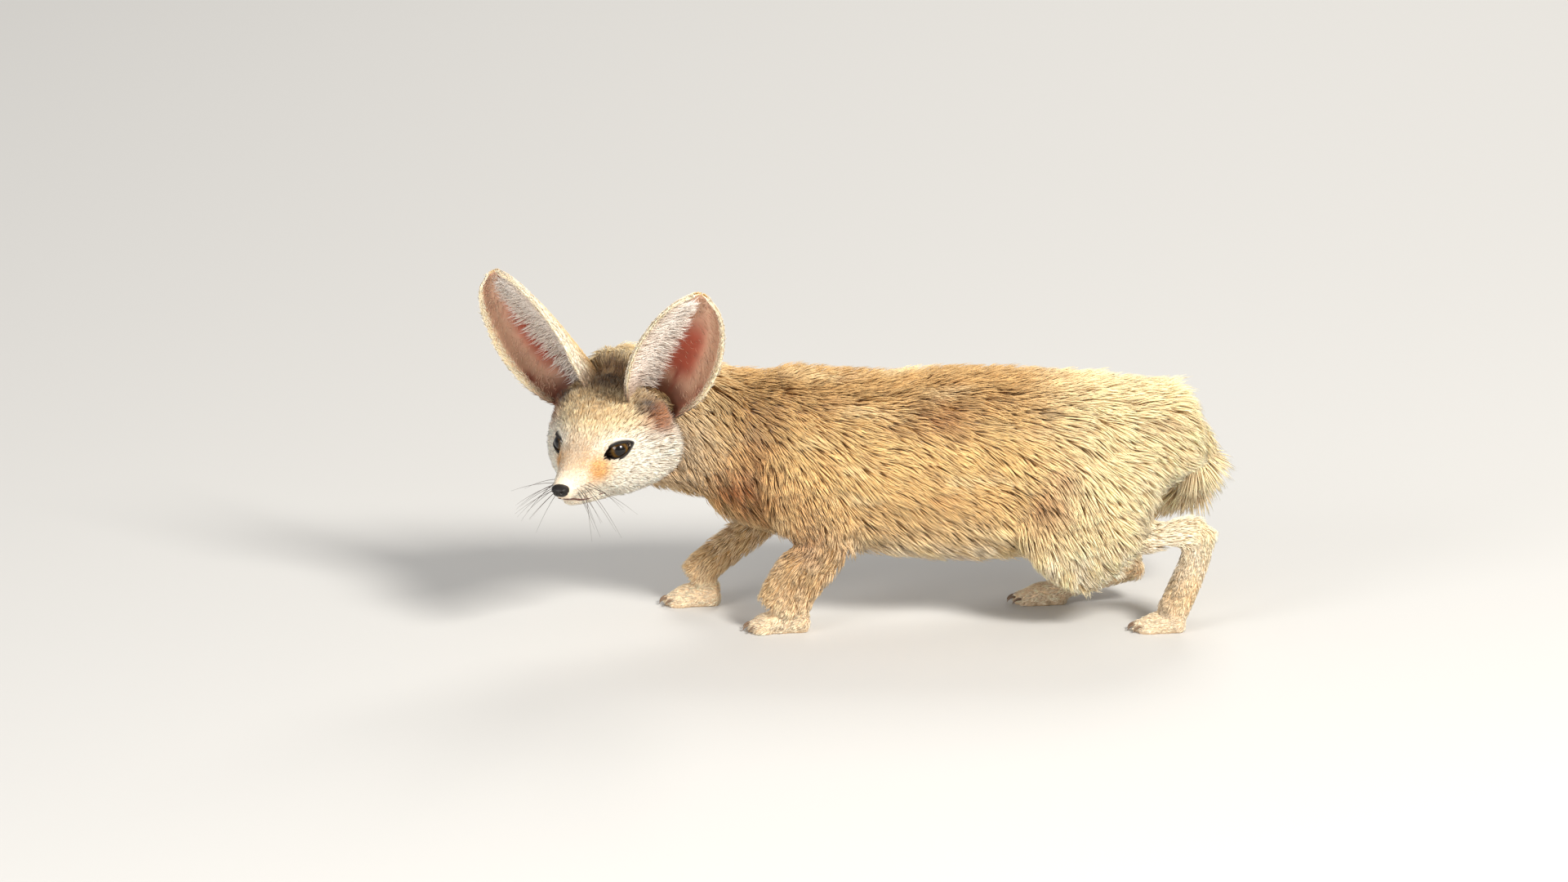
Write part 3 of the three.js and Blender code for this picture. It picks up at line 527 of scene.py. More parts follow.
def softened_body(points):
    """The trunk and thighs relax for long, the face and the feet only briefly.

    A point's share of the long part is 1 less the greater of its nearness to face and foot.
    """
    brief = relaxed(points, skin_edges, 6, np.full((len(points), 1), 0.5))
    head_x = to_head(points)[:, 0]
    in_face = fade(head_x, -30, -12) * (1 - fade(points[:, 0], -150, -135))
    foot = 1 - fade(points[:, 2], 26, 44)
    body = (1 - np.maximum(in_face, foot))[:, None]
    return relaxed(brief, skin_edges, 26, 0.55 * body)


outer_points = softened_body(skin_points)
moved = np.linalg.norm(outer_points - skin_points, axis=1)
print("relaxing moved the surface by", moved.mean().round(2), "mm on average")


# %% [markdown]
# ## How the coat grows, place by place
#
# A real coat has a length, a lie and a softness at each place, and they change gradually. They
# could be painted by hand; here each part's path carries guide points, and a place takes the
# mean of the guides round it, weighted by how near they are against the thickness of their part.

# %% The coat's field
def in_chunks(points, size):
    """The points in pieces of about a size, so that a table of distances fits in memory."""
    return np.array_split(points, max(1, len(points) // size))


def coat_field(points):
    """Lie direction, [depth, length, width, droop] and the nearest part for each point.

    The weight of a guide is 1 / (0.05 + (distance / radius of its part) to the power 8).
    """
    lies, coats, parts = [], [], []
    for chunk in in_chunks(points, 4000):
        apart = np.linalg.norm(chunk[:, None, :] - guides["at"][None], axis=2) / guides["radius"]
        weight = 1 / (0.05 + apart**8)
        weight /= weight.sum(axis=1, keepdims=True)
        lies.append(weight @ guides["lie"])
        coats.append(weight @ guides["coat"])
        share = [weight[:, guides["part"] == k].sum(axis=1) for k in range(len(PARTS))]
        parts.append(np.argmax(share, axis=0))
    return unit(np.concatenate(lies)), np.concatenate(coats), np.concatenate(parts)


NOSE_TIP = np.array([40.0, 0.0, -12.0])


def face_weight(points):
    """1 on the head forward of the nape, fading to 0 over the neck, and 0 far from the head."""
    head = to_head(points)
    return fade(head[:, 0], -50, -30) * (1 - fade(np.linalg.norm(head - [-10, 0, -5], axis=1), 52, 66))


def lie_on_head(points):
    """On the head hair points away from the nose, and on the cheeks also down and back."""
    head = to_head(points)
    away = unit(head - NOSE_TIP)
    cheek = fade(np.abs(head[:, 1]), 14, 32) * (1 - fade(head[:, 2], 2, 14))
    away = unit(away + cheek[:, None] * np.array([-0.45, 0.0, -0.35]))
    return away @ HEAD_AXES


HEAD_COAT = np.array([
    # x in the head, depth, length, width
    [-46, 6.5, 12, 0.68], [-30, 5.5, 10, 0.6], [-18, 4.2, 7.5, 0.52], [-8, 3.0, 5.5, 0.46],
    [2, 2.0, 4.2, 0.42], [12, 1.3, 3.2, 0.38], [24, 0.9, 2.5, 0.34], [40, 0.5, 1.9, 0.3],
])


def coat_at(points, normals):
    """Lie square to the normals, coat values and parts, with the head's own rules blended in."""
    lie, coat, part = coat_field(points)
    on_head = face_weight(points)[:, None]
    head = to_head(points)
    face = [np.interp(head[:, 0], HEAD_COAT[:, 0], HEAD_COAT[:, k]) for k in (1, 2, 3)]
    crown = fade(head[:, 2], 8, 22)[:, None]
    face = np.stack(face, axis=1) * (1 - 0.35 * crown * [1, 1, 0.3])
    coat[:, :3] = on_head * face + (1 - on_head) * coat[:, :3]
    coat[:, 3:] = (1 - on_head) * coat[:, 3:]
    lie = on_head * lie_on_head(points) + (1 - on_head) * lie
    lie[:, 2] -= coat[:, 3]
    lie = unit(lie - normals * (lie * normals).sum(axis=1, keepdims=True))
    return lie, coat, part


# Skin lower than the sole's height counts as sole, and lies flat at the gap over the floor.
SOLE_HEIGHT = 1.6
SOLE_GAP = 0.15
outer_normals = point_normals(outer_points, skin_faces)
_, coat_values, _ = coat_at(outer_points, outer_normals)
depth = neighbour_mean(coat_values[:, :1], skin_edges)
skin_points = outer_points - outer_normals * depth
skin_points = relaxed(skin_points, skin_edges, 2, 0.5)
sole = outer_points[:, 2] < SOLE_HEIGHT
skin_points[:, 2] = np.where(sole, SOLE_GAP, np.maximum(skin_points[:, 2], SOLE_GAP))
print("skin lies", depth.min().round(1), "to", depth.max().round(1), "mm under the tips")


# %% [markdown]
# ## Eyes and lids
#
# A fennec's eye is a dark amber ball deep under black-rimmed lids that meet in two points. The
# opening is described in a small frame that looks along the gaze: half an almond above and half
# below, each a parabola. The skin is pushed behind the ball inside the almond, and a lid is a
# rounded band along its edge, which hides the cut as a real lid's rim does.

# %% The eye's own frame
GAZE = np.array([0.76, 0.63, 0.13])
SLANT = np.radians(18.0)
ALMOND = {"half": 9.5, "up": 3.9, "down": 3.2, "shift": -1.5}


def gaze_axes(side):
    """Rows: towards the outer corner, upwards and out along the gaze, in the head's frame."""
    gaze = unit(on_side(side, GAZE))
    outer = unit(np.cross([0, 0, 1], gaze)) * side
    up = np.cross(gaze, outer) * side
    tilted_outer = np.cos(SLANT) * outer + np.sin(SLANT) * up
    tilted_up = np.cos(SLANT) * up - np.sin(SLANT) * outer
    return np.array([tilted_outer, tilted_up, gaze])


def in_gaze(side, points):
    """Points of the drawing in the eye's frame."""
    return (to_head(points) - on_side(side, EYE_CENTRE)) @ gaze_axes(side).T


def from_gaze(side, points):
    """Points of the eye's frame in the drawing."""
    return from_head(points @ gaze_axes(side) + on_side(side, EYE_CENTRE))


INNER_CORNER = np.array([ALMOND["shift"] - ALMOND["half"], -0.5, 4.0]) @ gaze_axes(1) + EYE_CENTRE


def almond_depth(x, y):
    """Below 1 inside the opening, 1 on its edge: height over the parabola's height there."""
    along = (x - ALMOND["shift"]) / ALMOND["half"]
    height = np.where(y > 0, ALMOND["up"], ALMOND["down"]) * np.clip(1 - along**2, 1e-3, 1)
    return np.maximum(np.abs(y) / height, np.abs(along))


def ball_front(across):
    """How far in front of its middle the eyeball's surface is, at a distance from the gaze line."""
    return np.sqrt(np.maximum(EYE_RADIUS**2 - across**2, 0))


skin_before_eyes = skin_points.copy()
for side in (1, -1):
    seen = in_gaze(side, skin_points)
    distance = np.hypot(seen[:, 0], seen[:, 1])
    open_here = (almond_depth(seen[:, 0], seen[:, 1]) < 1.12) & (seen[:, 2] > 0) & (distance < 12)
    behind_ball = np.maximum(ball_front(distance[open_here]) - 1.2, 1.5)
    seen[open_here, 2] = np.minimum(seen[open_here, 2], behind_ball)
    skin_points[open_here] = from_gaze(side, seen)[open_here]
    print("points pushed behind eye", side, ":", int(open_here.sum()))
skin_normals = point_normals(skin_points, skin_faces)


# %% [markdown]
# ## Ears
#
# A fennec's ear is a thin leaf rolled into a tube at its foot and opening into a cup. A solidified
# plane could be bent by hand; here the leaf is a function of the height up the ear and the angle
# round its roll, so the same function later roots the hairs and carries them over the cup.

# %% The ear as a surface
# silk tells how far from the inner edge the roots of the silky hairs spread, as a roll share.
EARS = {
    1: {"root": [-30, 25, 18], "axis": [0.22, 0.485, 0.85], "facing": [0.85, 0.53, -0.1],
        "length": 87, "silk": 0.8},
    -1: {"root": [-30, 22.5, 18], "axis": [0.23, 0.435, 0.87], "facing": [0.96, 0.18, -0.1],
         "length": 84, "silk": 1.15},
}
EAR_THICKNESS = 1.3
EAR_FOOT_WIDTH = 28
EAR_WIDTHS = np.array([[-0.2, 22], [0, 29], [0.2, 33.2], [0.45, 32], [0.65, 27.4], [0.82, 21.4],
                       [0.93, 15], [0.98, 9], [1, 5]])
ear_steps = smooth_through(EAR_WIDTHS, np.linspace(0, 1, 200))


def ear_curl(u):
    """Half angle of the roll in radians: tight at the foot, open at the tip."""
    return 0.95 + 1.0 * (1 - np.clip(u, 0, 1)) ** 1.7


def ear_surface(side, u, a, depth=0.0):
    """Points of an ear in the drawing, for height share u and roll share a from -1 to 1.

    The half width w of the flat leaf and the half angle c of the roll give the radius r = w / c.
    Point = root + axis u length + across (r + depth) sin(a c)
            + facing (r - (r + depth) cos(a c) - f (1 - u)), with f = foot width / c at the foot.
    """
    ear = EARS[side]
    axis = unit(on_side(side, ear["axis"]))
    facing = on_side(side, ear["facing"])
    facing = unit(facing - axis * (facing @ axis))
    across = np.cross(axis, facing)
    radius = np.interp(u, ear_steps[:, 0], ear_steps[:, 1]) / ear_curl(u)
    angle = a * ear_curl(u)
    foot = EAR_FOOT_WIDTH / ear_curl(0)
    out = (radius + depth)[..., None]
    return from_head(
        on_side(side, ear["root"]) + axis * (u * ear["length"])[..., None]
        + across * out * np.sin(angle)[..., None]
        + facing * (radius[..., None] - out * np.cos(angle)[..., None] - (foot * (1 - u))[..., None]))


def ear_fold(u, lateral, wide, high):
    """A bell about the fold that climbs inside an ear, leaning to the inner edge."""
    return np.exp(-((lateral - 0.34 + 0.3 * u) / wide) ** 2 - ((u - 0.16) / high) ** 2)


def ear_notch(u, lateral, wide, high):
    """A bell about the small pocket low on an ear's outer edge."""
    return np.exp(-((lateral - 0.8) / wide) ** 2 - ((u - 0.22) / high) ** 2)


def ear_shell(side, rows=84, columns=34):
    """A closed shell: each ring runs over the inner face and back over the outer one.

    Given back are its points, its faces, and a row [u, lateral roll share, inside] for each point.
    """
    u = np.linspace(-0.2, 1, rows)[:, None]
    a = np.linspace(-1, 1, columns)[None, :]
    u, a = np.broadcast_arrays(u, a)
    wall = EAR_THICKNESS * (0.45 + 0.55 * np.sqrt(np.clip(1 - np.abs(a) ** 6, 0, 1))) * (1 - 0.3 * u)
    lateral = a * side
    fold = 1.3 * ear_fold(u, lateral, 0.07, 0.16)
    pocket = 1.6 * ear_notch(u, lateral, 0.07, 0.08)
    inner = ear_surface(side, u, a, -fold + 0.45 * pocket * wall / EAR_THICKNESS)
    outer = ear_surface(side, u, a, wall)
    ring = np.concatenate([inner, outer[:, ::-1]], axis=1)
    middle = ring.mean(axis=1, keepdims=True)
    foot = np.repeat(middle[:1], 2 * columns, axis=1)
    tip = np.repeat(middle[-1:] + 1.2 * (middle[-1:] - middle[-2:-1]), 2 * columns, axis=1)
    ring = np.concatenate([foot, ring, tip])
    heights = np.concatenate([[-0.2], np.linspace(-0.2, 1, rows), [1.0]])
    around = np.concatenate([a[0], a[0][::-1]])
    inside = np.repeat([1.0, 0.0], columns)
    places = np.broadcast_arrays(heights[:, None], around[None, :] * side, inside[None, :])
    faces = grid_faces(rows + 2, 2 * columns, round_columns=True)
    return ring.reshape(-1, 3), faces, np.stack(places, axis=-1).reshape(-1, 3)


def outward(points, faces):
    """The faces turned so that the closed surface holds a positive volume."""
    corner = points[faces]
    volume = np.einsum("ij,ij->i", corner[:, 0], np.cross(corner[:, 1], corner[:, 2])).sum()
    volume += np.einsum("ij,ij->i", corner[:, 0], np.cross(corner[:, 2], corner[:, 3])).sum()
    return faces if volume > 0 else faces[:, ::-1]


# %% [markdown]
# ## Markings
#
# The coat is straw-coloured, paler below and behind, with rusty knots where it is ruffled, a dark
# crown between the ears and a dark brush tip. The crown is dark partly from its streaky fur and
# partly from painted shadow cast by the ears, and some rust and olive at the shoulder, neck, chest
# and forearm is partly painted shade. Skin and tufts ask the same function for the colour of a
# place, so that they always carry the same markings.

# %% Colours
def linear(red, green, blue):
    """A screen colour, 0 to 255, as the linear light that shaders use."""
    c = np.array([red, green, blue]) / 255
    return np.where(c <= 0.04045, c / 12.92, ((c + 0.055) / 1.055) ** 2.4)


STRAW = linear(238, 206, 144)
SAND = linear(204, 166, 110)
CREAM = linear(254, 236, 190)
WHITE = linear(255, 250, 236)
RUST = linear(164, 98, 50)
ORANGE = linear(236, 180, 94)
OLIVE = linear(100, 66, 30)
UMBER = linear(36, 24, 16)
LEG_CREAM = linear(250, 222, 176)
FLESH = linear(168, 70, 48)
EAR_PINK = linear(222, 180, 152)
EAR_SHADE = linear(150, 104, 74)
# Painted shade deep in the foot of the ear's roll.
EAR_DEEP_SHADE = linear(116, 58, 44)
EAR_FOLD_RED = linear(138, 56, 42)
# The pocket's red skin, darkened as painted shade in its hollow.
EAR_POCKET_RED_SHADE = linear(120, 40, 28)
EAR_FOOT_BROWN = linear(146, 110, 72)
# Painted shade in the pits behind the eyeballs.
EYE_PIT_SHADE = linear(20, 13, 10)
LID_BLACK = linear(22, 15, 12)
# Painted shade: the skin shows in the gaps between the tufts and is redder than the coat over it,
# as warm shade there; its colour is the coat's times this.
GAP_SHADE_TINT = [1, 0.86, 0.74]


def mixed(colour, other, share):
    """The colour turned towards another by a share at each point."""
    return colour + (other - colour) * np.clip(share, 0, 1)[:, None]


def spot(points, centre, size):
    """1 at a centre, falling off as a bell; size may differ along x, y and z."""
    return np.exp(-(((points - centre) / size) ** 2).sum(axis=1))


def ripple(points, length, seed):
    """A smooth random value of about -1 to 1: a mean of sines of about one wavelength."""
    draw = np.random.default_rng(seed)
    ways = unit(draw.normal(size=(14, 3))) * 2 * np.pi / length * draw.uniform(0.7, 1.4, (14, 1))
    return 2.2 * np.sin(points @ ways.T + draw.uniform(0, 2 * np.pi, 14)).mean(axis=1)


BODY_MARKS_AND_SHADE = [
    # centre, size, colour, strength
    ((4, -40, 126), (14, 16, 9), RUST, 1.0),
    ((-13, -36, 129), (6, 14, 8), OLIVE, 0.8),
    ((61, -52, 80), (13, 16, 11), RUST, 0.85),
    ((72, -50, 97), (9, 16, 6), RUST, 0.55),
    ((64, -52, 76), (7, 12, 5), OLIVE, 0.65),
    # Painted shade: the next four spots, at the shoulder, the neck's side, the chest and the forearm,
    # lie on the fox's left side only and are partly the coat's rust and olive and partly shade painted
    # where the body shades itself.
    ((-95, -36, 121), (13, 18, 12), OLIVE, 0.55),
    ((-100, -36, 104), (16, 20, 24), RUST, 0.6),
    ((-110, -30, 80), (28, 24, 18), RUST, 0.85),
    ((-66, -34, 54), (16, 20, 14), RUST, 0.5),
    ((150, -8, 123), (4.5, 6, 4.5), UMBER, 0.95),
    ((4, 40, 120), (18, 14, 12), RUST, 0.35),
]


def body_colour(points):
    """Colours of the trunk, neck, legs and tail.

    Each line turns the colour towards another by a share that fades along x, to the rump, and
    along z, upwards, or that follows streaks drawn out along x.
    """
    x, z = points[:, 0], points[:, 2]
    chest = fade(x, -110, -60) * (1 - fade(x, 20, 60)) * (1 - fade(z, 70, 104))
    locks = fade(ripple(points * [1, 1, 0.3], 9, 10), -0.6, 0.6)
    rusty = fade(ripple(points * [0.45, 1, 1], 14, 3), 0.1, 1.2)
    dark = fade(ripple(points * [0.3, 1, 1], 8, 7), 0.3, 1.2)
    pale = fade(ripple(points * [0.5, 1, 1], 19, 4), 0.1, 1.1)
    colour = np.tile(STRAW, (len(points), 1))
    colour = mixed(colour, SAND, 0.85 * fade(z, 112, 134) * (1 - fade(x, 50, 105)))
    colour = mixed(colour, CREAM, 0.75 * (1 - fade(z, 46, 84)))
    colour = mixed(colour, CREAM, 0.95 * fade(x, 40, 92))
    colour = mixed(colour, RUST, 0.2 * chest)
    colour = mixed(colour, WHITE, 0.6 * (1 - fade(z, 46, 66)) * locks)
    colour = mixed(colour, CREAM, 0.6 * (1 - fade(x, -134, -104)) * fade(z, 84, 108))
    colour = mixed(colour, WHITE, 0.5 * fade(x, 100, 130) * (1 - fade(z, 70, 110)))
    colour = mixed(colour, RUST, 0.24 * rusty * (1 - fade(x, 70, 110)))
    colour = mixed(colour, OLIVE, 0.3 * dark * fade(z, 96, 125))
    colour = mixed(colour, CREAM, 0.5 * pale)
    for centre, size, tone, strength in BODY_MARKS_AND_SHADE:
        near = spot(points, centre, size) * (1 + 0.5 * ripple(points, 7, 5))
        colour = mixed(colour, tone, strength * near)
    return colour


def leg_colour(points, colour, part):
    """Legs fade to white feet; the cannon is streaked with brown down its front."""
    x, y, z = points.T
    low = 1 - fade(z, 12, 58)
    lower_leg = is_part(part, *LOWER_LEG)
    colour = mixed(colour, LEG_CREAM, 0.8 * low * lower_leg)
    colour = mixed(colour, WHITE, 0.5 * lower_leg * (1 - fade(z, 4, 22)))
    front = np.interp(z, [10, 57], [134, 147])
    stripe = np.exp(-((x - front) / 4.5) ** 2) * is_part(part, "cannon") * (y < 0)
    colour = mixed(colour, UMBER, 0.55 * stripe * (0.6 + 0.6 * ripple(points, 6, 6)))
    thin = fade(ripple(points * [1, 1, 0.45], 5, 13), 0.1, 1.0)
    fore = (x < 0) * fade(z, 14, 34) * lower_leg
    return mixed(colour, SAND, (0.45 + 0.4 * thin) * fore)


def tail_colour(points, colour):
    """The brush darkens to its tip, which lies outside the right thigh."""
    x, y = points[:, 0], points[:, 1]
    colour = mixed(colour, STRAW, 0.6 * fade(y, 10, 40))
    colour = mixed(colour, CREAM, 0.6 * (1 - fade(y, 4, 26)))
    return mixed(colour, UMBER, 0.95 * fade(y, 56, 74) * (1 - fade(x, 78, 104)))


def face_colour(points, colour):
    """Colours of the head, worked out in its own frame and folded onto its left half."""
    head = to_head(points)
    half = head * [1, 0, 1] + np.abs(head) * [0, 1, 0]
    ahead, out, up = half.T
    mottled = fade(ripple(points, 5, 8), -0.9, 0.8)
    fine = fade(ripple(points, 2.5, 12), -0.6, 0.8)
    streaky = fade(ripple(points * [1, 1, 0.5], 3.4, 9), -0.5, 0.7)
    face = np.tile(WHITE, (len(points), 1))
    # Forehead and cheeks.
    face = mixed(face, CREAM, 0.9 * fade(up, 2, 14))
    face = mixed(face, SAND, 0.65 * fade(up, 6, 20) * mottled)
    # The muzzle's bridge and sides.
    face = mixed(face, SAND, 0.5 * fade(up, -9, -2) * fade(ahead, 6, 16) * (out < 7))
    muzzle = spot(half, (14.5, 10.5, -7.5), (8, 6.5, 7))
    face = mixed(face, ORANGE, np.minimum(1.2 * muzzle, 0.85))
    face = mixed(face, RUST, 0.1 * spot(half, (16.5, 11, -9), (3.5, 5, 3)))
    face = mixed(face, OLIVE, 0.3 * spot(half, (12, 0, -1), (9, 4, 5)) * fine)
    # About the eye and its inner corner.
    face = mixed(face, SAND, 0.75 * spot(half, (6, 5, 4.5), (4.5, 3.2, 4)))
    # A dark spot over the fold of the brow above the inner corner: painted shade in the crease.
    face = mixed(face, OLIVE, 0.6 * spot(half, (7.5, 7, 2.2), (2.6, 2.2, 1.5)))
    face = mixed(face, UMBER, 0.9 * spot(half, INNER_CORNER, (2.4, 2.4, 1.6)))
    face = mixed(face, UMBER, 0.5 * spot(half, INNER_CORNER + [3.0, -1.0, -2.2], (2.2, 2.0, 1.6)))
    # The dark crown between the ears, partly streaky brown fur and partly painted shadow cast by the
    # ears, and the brow below it.
    face = mixed(face, CREAM, 0.9 * fade(-ahead, 32, 40) * fade(up, 22, 32))
    crown = np.minimum(1.5 * spot(half, (-25, 0, 31), (12, 21, 11)), 0.96)
    face = mixed(face, OLIVE, crown * (0.8 + 0.2 * streaky))
    face = mixed(face, UMBER, 0.4 * spot(half, (-25, 0, 31), (9, 13, 8)) * streaky)
    face = mixed(face, OLIVE, 0.75 * spot(half, (-11, 0, 25), (9, 7, 9)) * streaky)
    face = mixed(face, SAND, 0.75 * spot(half, (-4, 0, 18), (13, 14, 10)) * streaky)
    # The foot of the ear, and behind the cheek.
    below_ear = spot(half, (-21, 31, 12), (9, 9, 8))
    face = mixed(face, RUST, np.minimum(1.6 * below_ear, 0.9))
    ear_foot = np.minimum(1.6 * spot(half, (-19, 24.5, 17), (6, 6.5, 4.5)), 0.95)
    face = mixed(face, UMBER, ear_foot * (0.6 + 0.4 * streaky))
    face = mixed(face, STRAW, 0.45 * fade(out, 36, 44) * fade(up, -14, 6))
    face = mixed(face, SAND, 0.7 * fade(-ahead, 26, 44) * (1 - fade(up, 18, 30)))
    wide = 1 - fade(np.linalg.norm(head - [-14, 0, -3], axis=1), 54, 88)
    share = (wide * fade(ahead, -70, -38))[:, None]
    return colour * (1 - share) + face * share


def coat_colour(points, part):
    """The colour of the coat, and of the skin under it, at each place."""
    colour = leg_colour(points, body_colour(points), part)
    on_tail = is_part(part, "tail")[:, None]
    colour = np.where(on_tail, tail_colour(points, colour), colour)
    return face_colour(points, colour)


def ear_colour(u, lateral, inside):
    """Colours of an ear's shell: pink within, with painted shade darkest low and to the side and in the
    pocket, buff behind.
    """
    within = np.tile(EAR_PINK, (len(u), 1))
    red = np.exp(-((lateral - 0.24) / 0.3) ** 4) * fade(u, 0.05, 0.3) * (1 - fade(u, 0.55, 0.92))
    within = mixed(within, FLESH, 0.95 * red)
    # Painted shade: a darker band inside the outer edge, and the deep foot of the roll below.
    side_shade = fade(lateral, 0.5, 0.74) * (1 - fade(lateral, 0.8, 0.92))
    within = mixed(within, EAR_SHADE, 0.6 * side_shade)
    within = mixed(within, EAR_DEEP_SHADE, 0.8 * (1 - fade(u, 0.02, 0.2)))
    within = mixed(within, EAR_FOLD_RED, 0.9 * ear_fold(u, lateral, 0.05, 0.14))
    # The pocket: its red darkened further as painted shade in the hollow.
    within = mixed(within, EAR_POCKET_RED_SHADE, 0.9 * ear_notch(u, lateral, 0.06, 0.06))
    within = mixed(within, CREAM, 0.85 * fade(np.abs(lateral), 0.84, 0.95) * fade(u, 0.04, 0.24))
    behind = mixed(np.tile(STRAW, (len(u), 1)), WHITE, 0.9 * fade(np.abs(lateral), 0.45, 0.95))
    behind = mixed(behind, EAR_FOOT_BROWN, 0.85 * (1 - fade(u, 0.04, 0.3)))
    return np.where(inside[:, None] > 0.5, within, behind)


print("markings:", len(BODY_MARKS_AND_SHADE), "spots on the body")

# %% Build the skin
shells = [ear_shell(side) for side in (1, -1)]
whole_points, whole_faces = [skin_points], [skin_faces]
for points, faces, _ in shells:
    whole_faces.append(outward(points, faces) + sum(len(p) for p in whole_points))
    whole_points.append(points)
skin = new_piece("skin", np.concatenate(whole_points), np.concatenate(whole_faces))
skin_lie, skin_coat, skin_part = coat_at(skin_points, skin_normals)
skin_tint = coat_colour(skin_points, skin_part)
# Painted shade: inside each eye opening the skin, pushed back behind the eyeball, is painted near black
# as the shade in that pit.
for side in (1, -1):
    seen = in_gaze(side, skin_points)
    in_opening = (almond_depth(seen[:, 0], seen[:, 1]) < 1.3) & (np.abs(seen[:, 2]) < 12)
    skin_tint[in_opening] = EYE_PIT_SHADE
ear_tints = [ear_colour(*places.T) for _, _, places in shells]
paint(skin, "tint", np.concatenate([skin_tint * GAP_SHADE_TINT] + ear_tints))
in_ears = np.zeros(len(skin.data.polygons), np.int32)
in_ears[len(skin_faces):] = 1
skin.data.polygons.foreach_set("material_index", in_ears)
weld(skin)
flesh_nodes = sorted(set(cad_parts) - {"eye_left", "eye_right", "nose"})
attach(skin, "root")
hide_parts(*flesh_nodes)
print("skin replaces", len(flesh_nodes), "nodes")

# %% Eyeballs
EYE_RINGS = 40
EYE_SIDES = 64
BALL_INSET = 0.35
CORNEA = 0.5


def eyeball(side):
    """A ball about the gaze whose front bulges a little, as the cornea does.

    Radius = eye radius - inset + cornea * (1 - (a / 0.8)^2)^2, the last term only within 0.8
    radians of the gaze. Given back are points, faces and each point's direction.
    """
    a = np.linspace(0, np.pi, EYE_RINGS)[:, None]
    b = np.linspace(0, 2 * np.pi, EYE_SIDES, endpoint=False)[None, :]
    radius = EYE_RADIUS - BALL_INSET + CORNEA * np.clip(1 - (a / 0.8) ** 2, 0, 1) ** 2
    way = np.stack([np.sin(a) * np.cos(b), np.sin(a) * np.sin(b), np.cos(a) + 0 * b], axis=-1)
    points = from_gaze(side, (way * radius[..., None]).reshape(-1, 3))
    return points, grid_faces(EYE_RINGS, EYE_SIDES, round_columns=True), way.reshape(-1, 3)


eyes = []
for side, name in SIDES:
    points, faces, way = eyeball(side)
    eye = new_piece(f"eyeball_{name}", points, outward(points, faces))
    paint(eye, "gaze", way)
    weld(eye)
    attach(eye, "root")
    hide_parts(f"eye_{name}")
    eyes.append(eye)
print("eyeballs:", len(eyes), "with", len(faces), "faces each")


# %% Lids
# Black runs out from the opening over the rim and turns into the face's colour over the fade.
LID_RIM = 1.05
LID_FADE = 1.4
LID_REACH = 5.2
# How far out from the eye's opening each line of a lid runs, how far it stands over the ball
# (near the opening) or over the skin (further out), and how much the skin counts there.
LID_SECTION = np.array([
    [-0.5, -1.6, 0.0], [0.0, -0.3, 0.0], [0.0, 0.35, 0.0], [0.3, 0.75, 0.0], [0.75, 0.95, 0.15],
    [1.3, 0.9, 0.4], [2.2, 0.65, 0.75], [3.3, 0.3, 1.0], [LID_REACH, -0.9, 1.0], [LID_REACH, -2.6, 1.0],
    [2.0, -2.6, 0.6],
])


def skin_height(side, x, y):
    """Height of the skin over the eye's frame at places: the mean of near skin points, weighted
    by exp(-(distance / 1.6)^2)."""
    seen = in_gaze(side, skin_before_eyes)
    near = seen[(np.hypot(seen[:, 0], seen[:, 1]) < 20) & (seen[:, 2] > -6)]
    apart = (x.reshape(-1, 1) - near[:, 0]) ** 2 + (y.reshape(-1, 1) - near[:, 1]) ** 2
    weight = np.exp(-apart / 1.6**2) + 1e-12
    return ((weight @ near[:, 2]) / weight.sum(axis=1)).reshape(x.shape)


def lid_band(side, around=96, lines=44):
    """A closed band round the opening: its points, faces and each point's way out from the opening.

    The opening's edge is x = half cos t, y = height sin^2 t with the sign of sin t. Each line of
    the band lies a little further out along the ellipse's normal there, and its height goes from
    the eyeball's to the skin's.
    """
    t = np.linspace(0, 2 * np.pi, around, endpoint=False)[None, :]
    closed_section = np.vstack([LID_SECTION, LID_SECTION[:1]])
    section = smooth_through(closed_section, np.linspace(0, 1, lines, endpoint=False))
    out, lift, share = section.T[:, :, None]
    height = np.where(np.sin(t) > 0, ALMOND["up"], ALMOND["down"])
    edge_x = ALMOND["half"] * np.cos(t) + ALMOND["shift"]
    edge_y = height * np.sin(t) * np.abs(np.sin(t))
    way = unit(np.stack([np.cos(t) / ALMOND["half"], np.sin(t) / height], axis=-1))
    crease = 1 + 0.35 * np.exp(-((t - 1.5) / 0.8) ** 2)
    x = edge_x + way[..., 0] * out
    y = edge_y + way[..., 1] * out
    on_ball = ball_front(np.minimum(np.hypot(x, y), EYE_RADIUS - 0.4))
    z = on_ball * (1 - share) + skin_height(side, x, y) * share
    z = z + lift * np.where(lift > 0, crease, 1)
    points = from_gaze(side, np.stack([x, y, z], axis=-1).reshape(-1, 3))
    return points, grid_faces(lines, around, True, True), np.broadcast_to(out, x.shape).ravel()


lids = []
for side, name in SIDES:
    points, faces, spread = lid_band(side)
    lid = new_piece(f"lid_{name}", points, outward(points, faces))
    black = 1 - fade(spread, LID_RIM, LID_RIM + LID_FADE)
    around_eye = face_colour(points, np.tile(CREAM, (len(points), 1)))
    paint(lid, "tint", mixed(around_eye, LID_BLACK, black))
    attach(lid, "root")
    lids.append(lid)
print("lids:", len(lids), "bands of", len(faces), "faces")

# %% [markdown]
# ## Nose, lips, whiskers and claws
#
# The nose pad is a leathery button with two comma-shaped nostrils and a groove that runs down to
# the lip. It could be sculpted; here one ball is dented by bell-shaped functions. Lip, whiskers
# and claws are all tubes along smooth paths, so one function makes every one of them.

# %% Nose pad
NOSE_CENTRE = np.array([37.6, 0.0, -12.6])
NOSE_RADII = np.array([4.6, 5.0, 3.8])


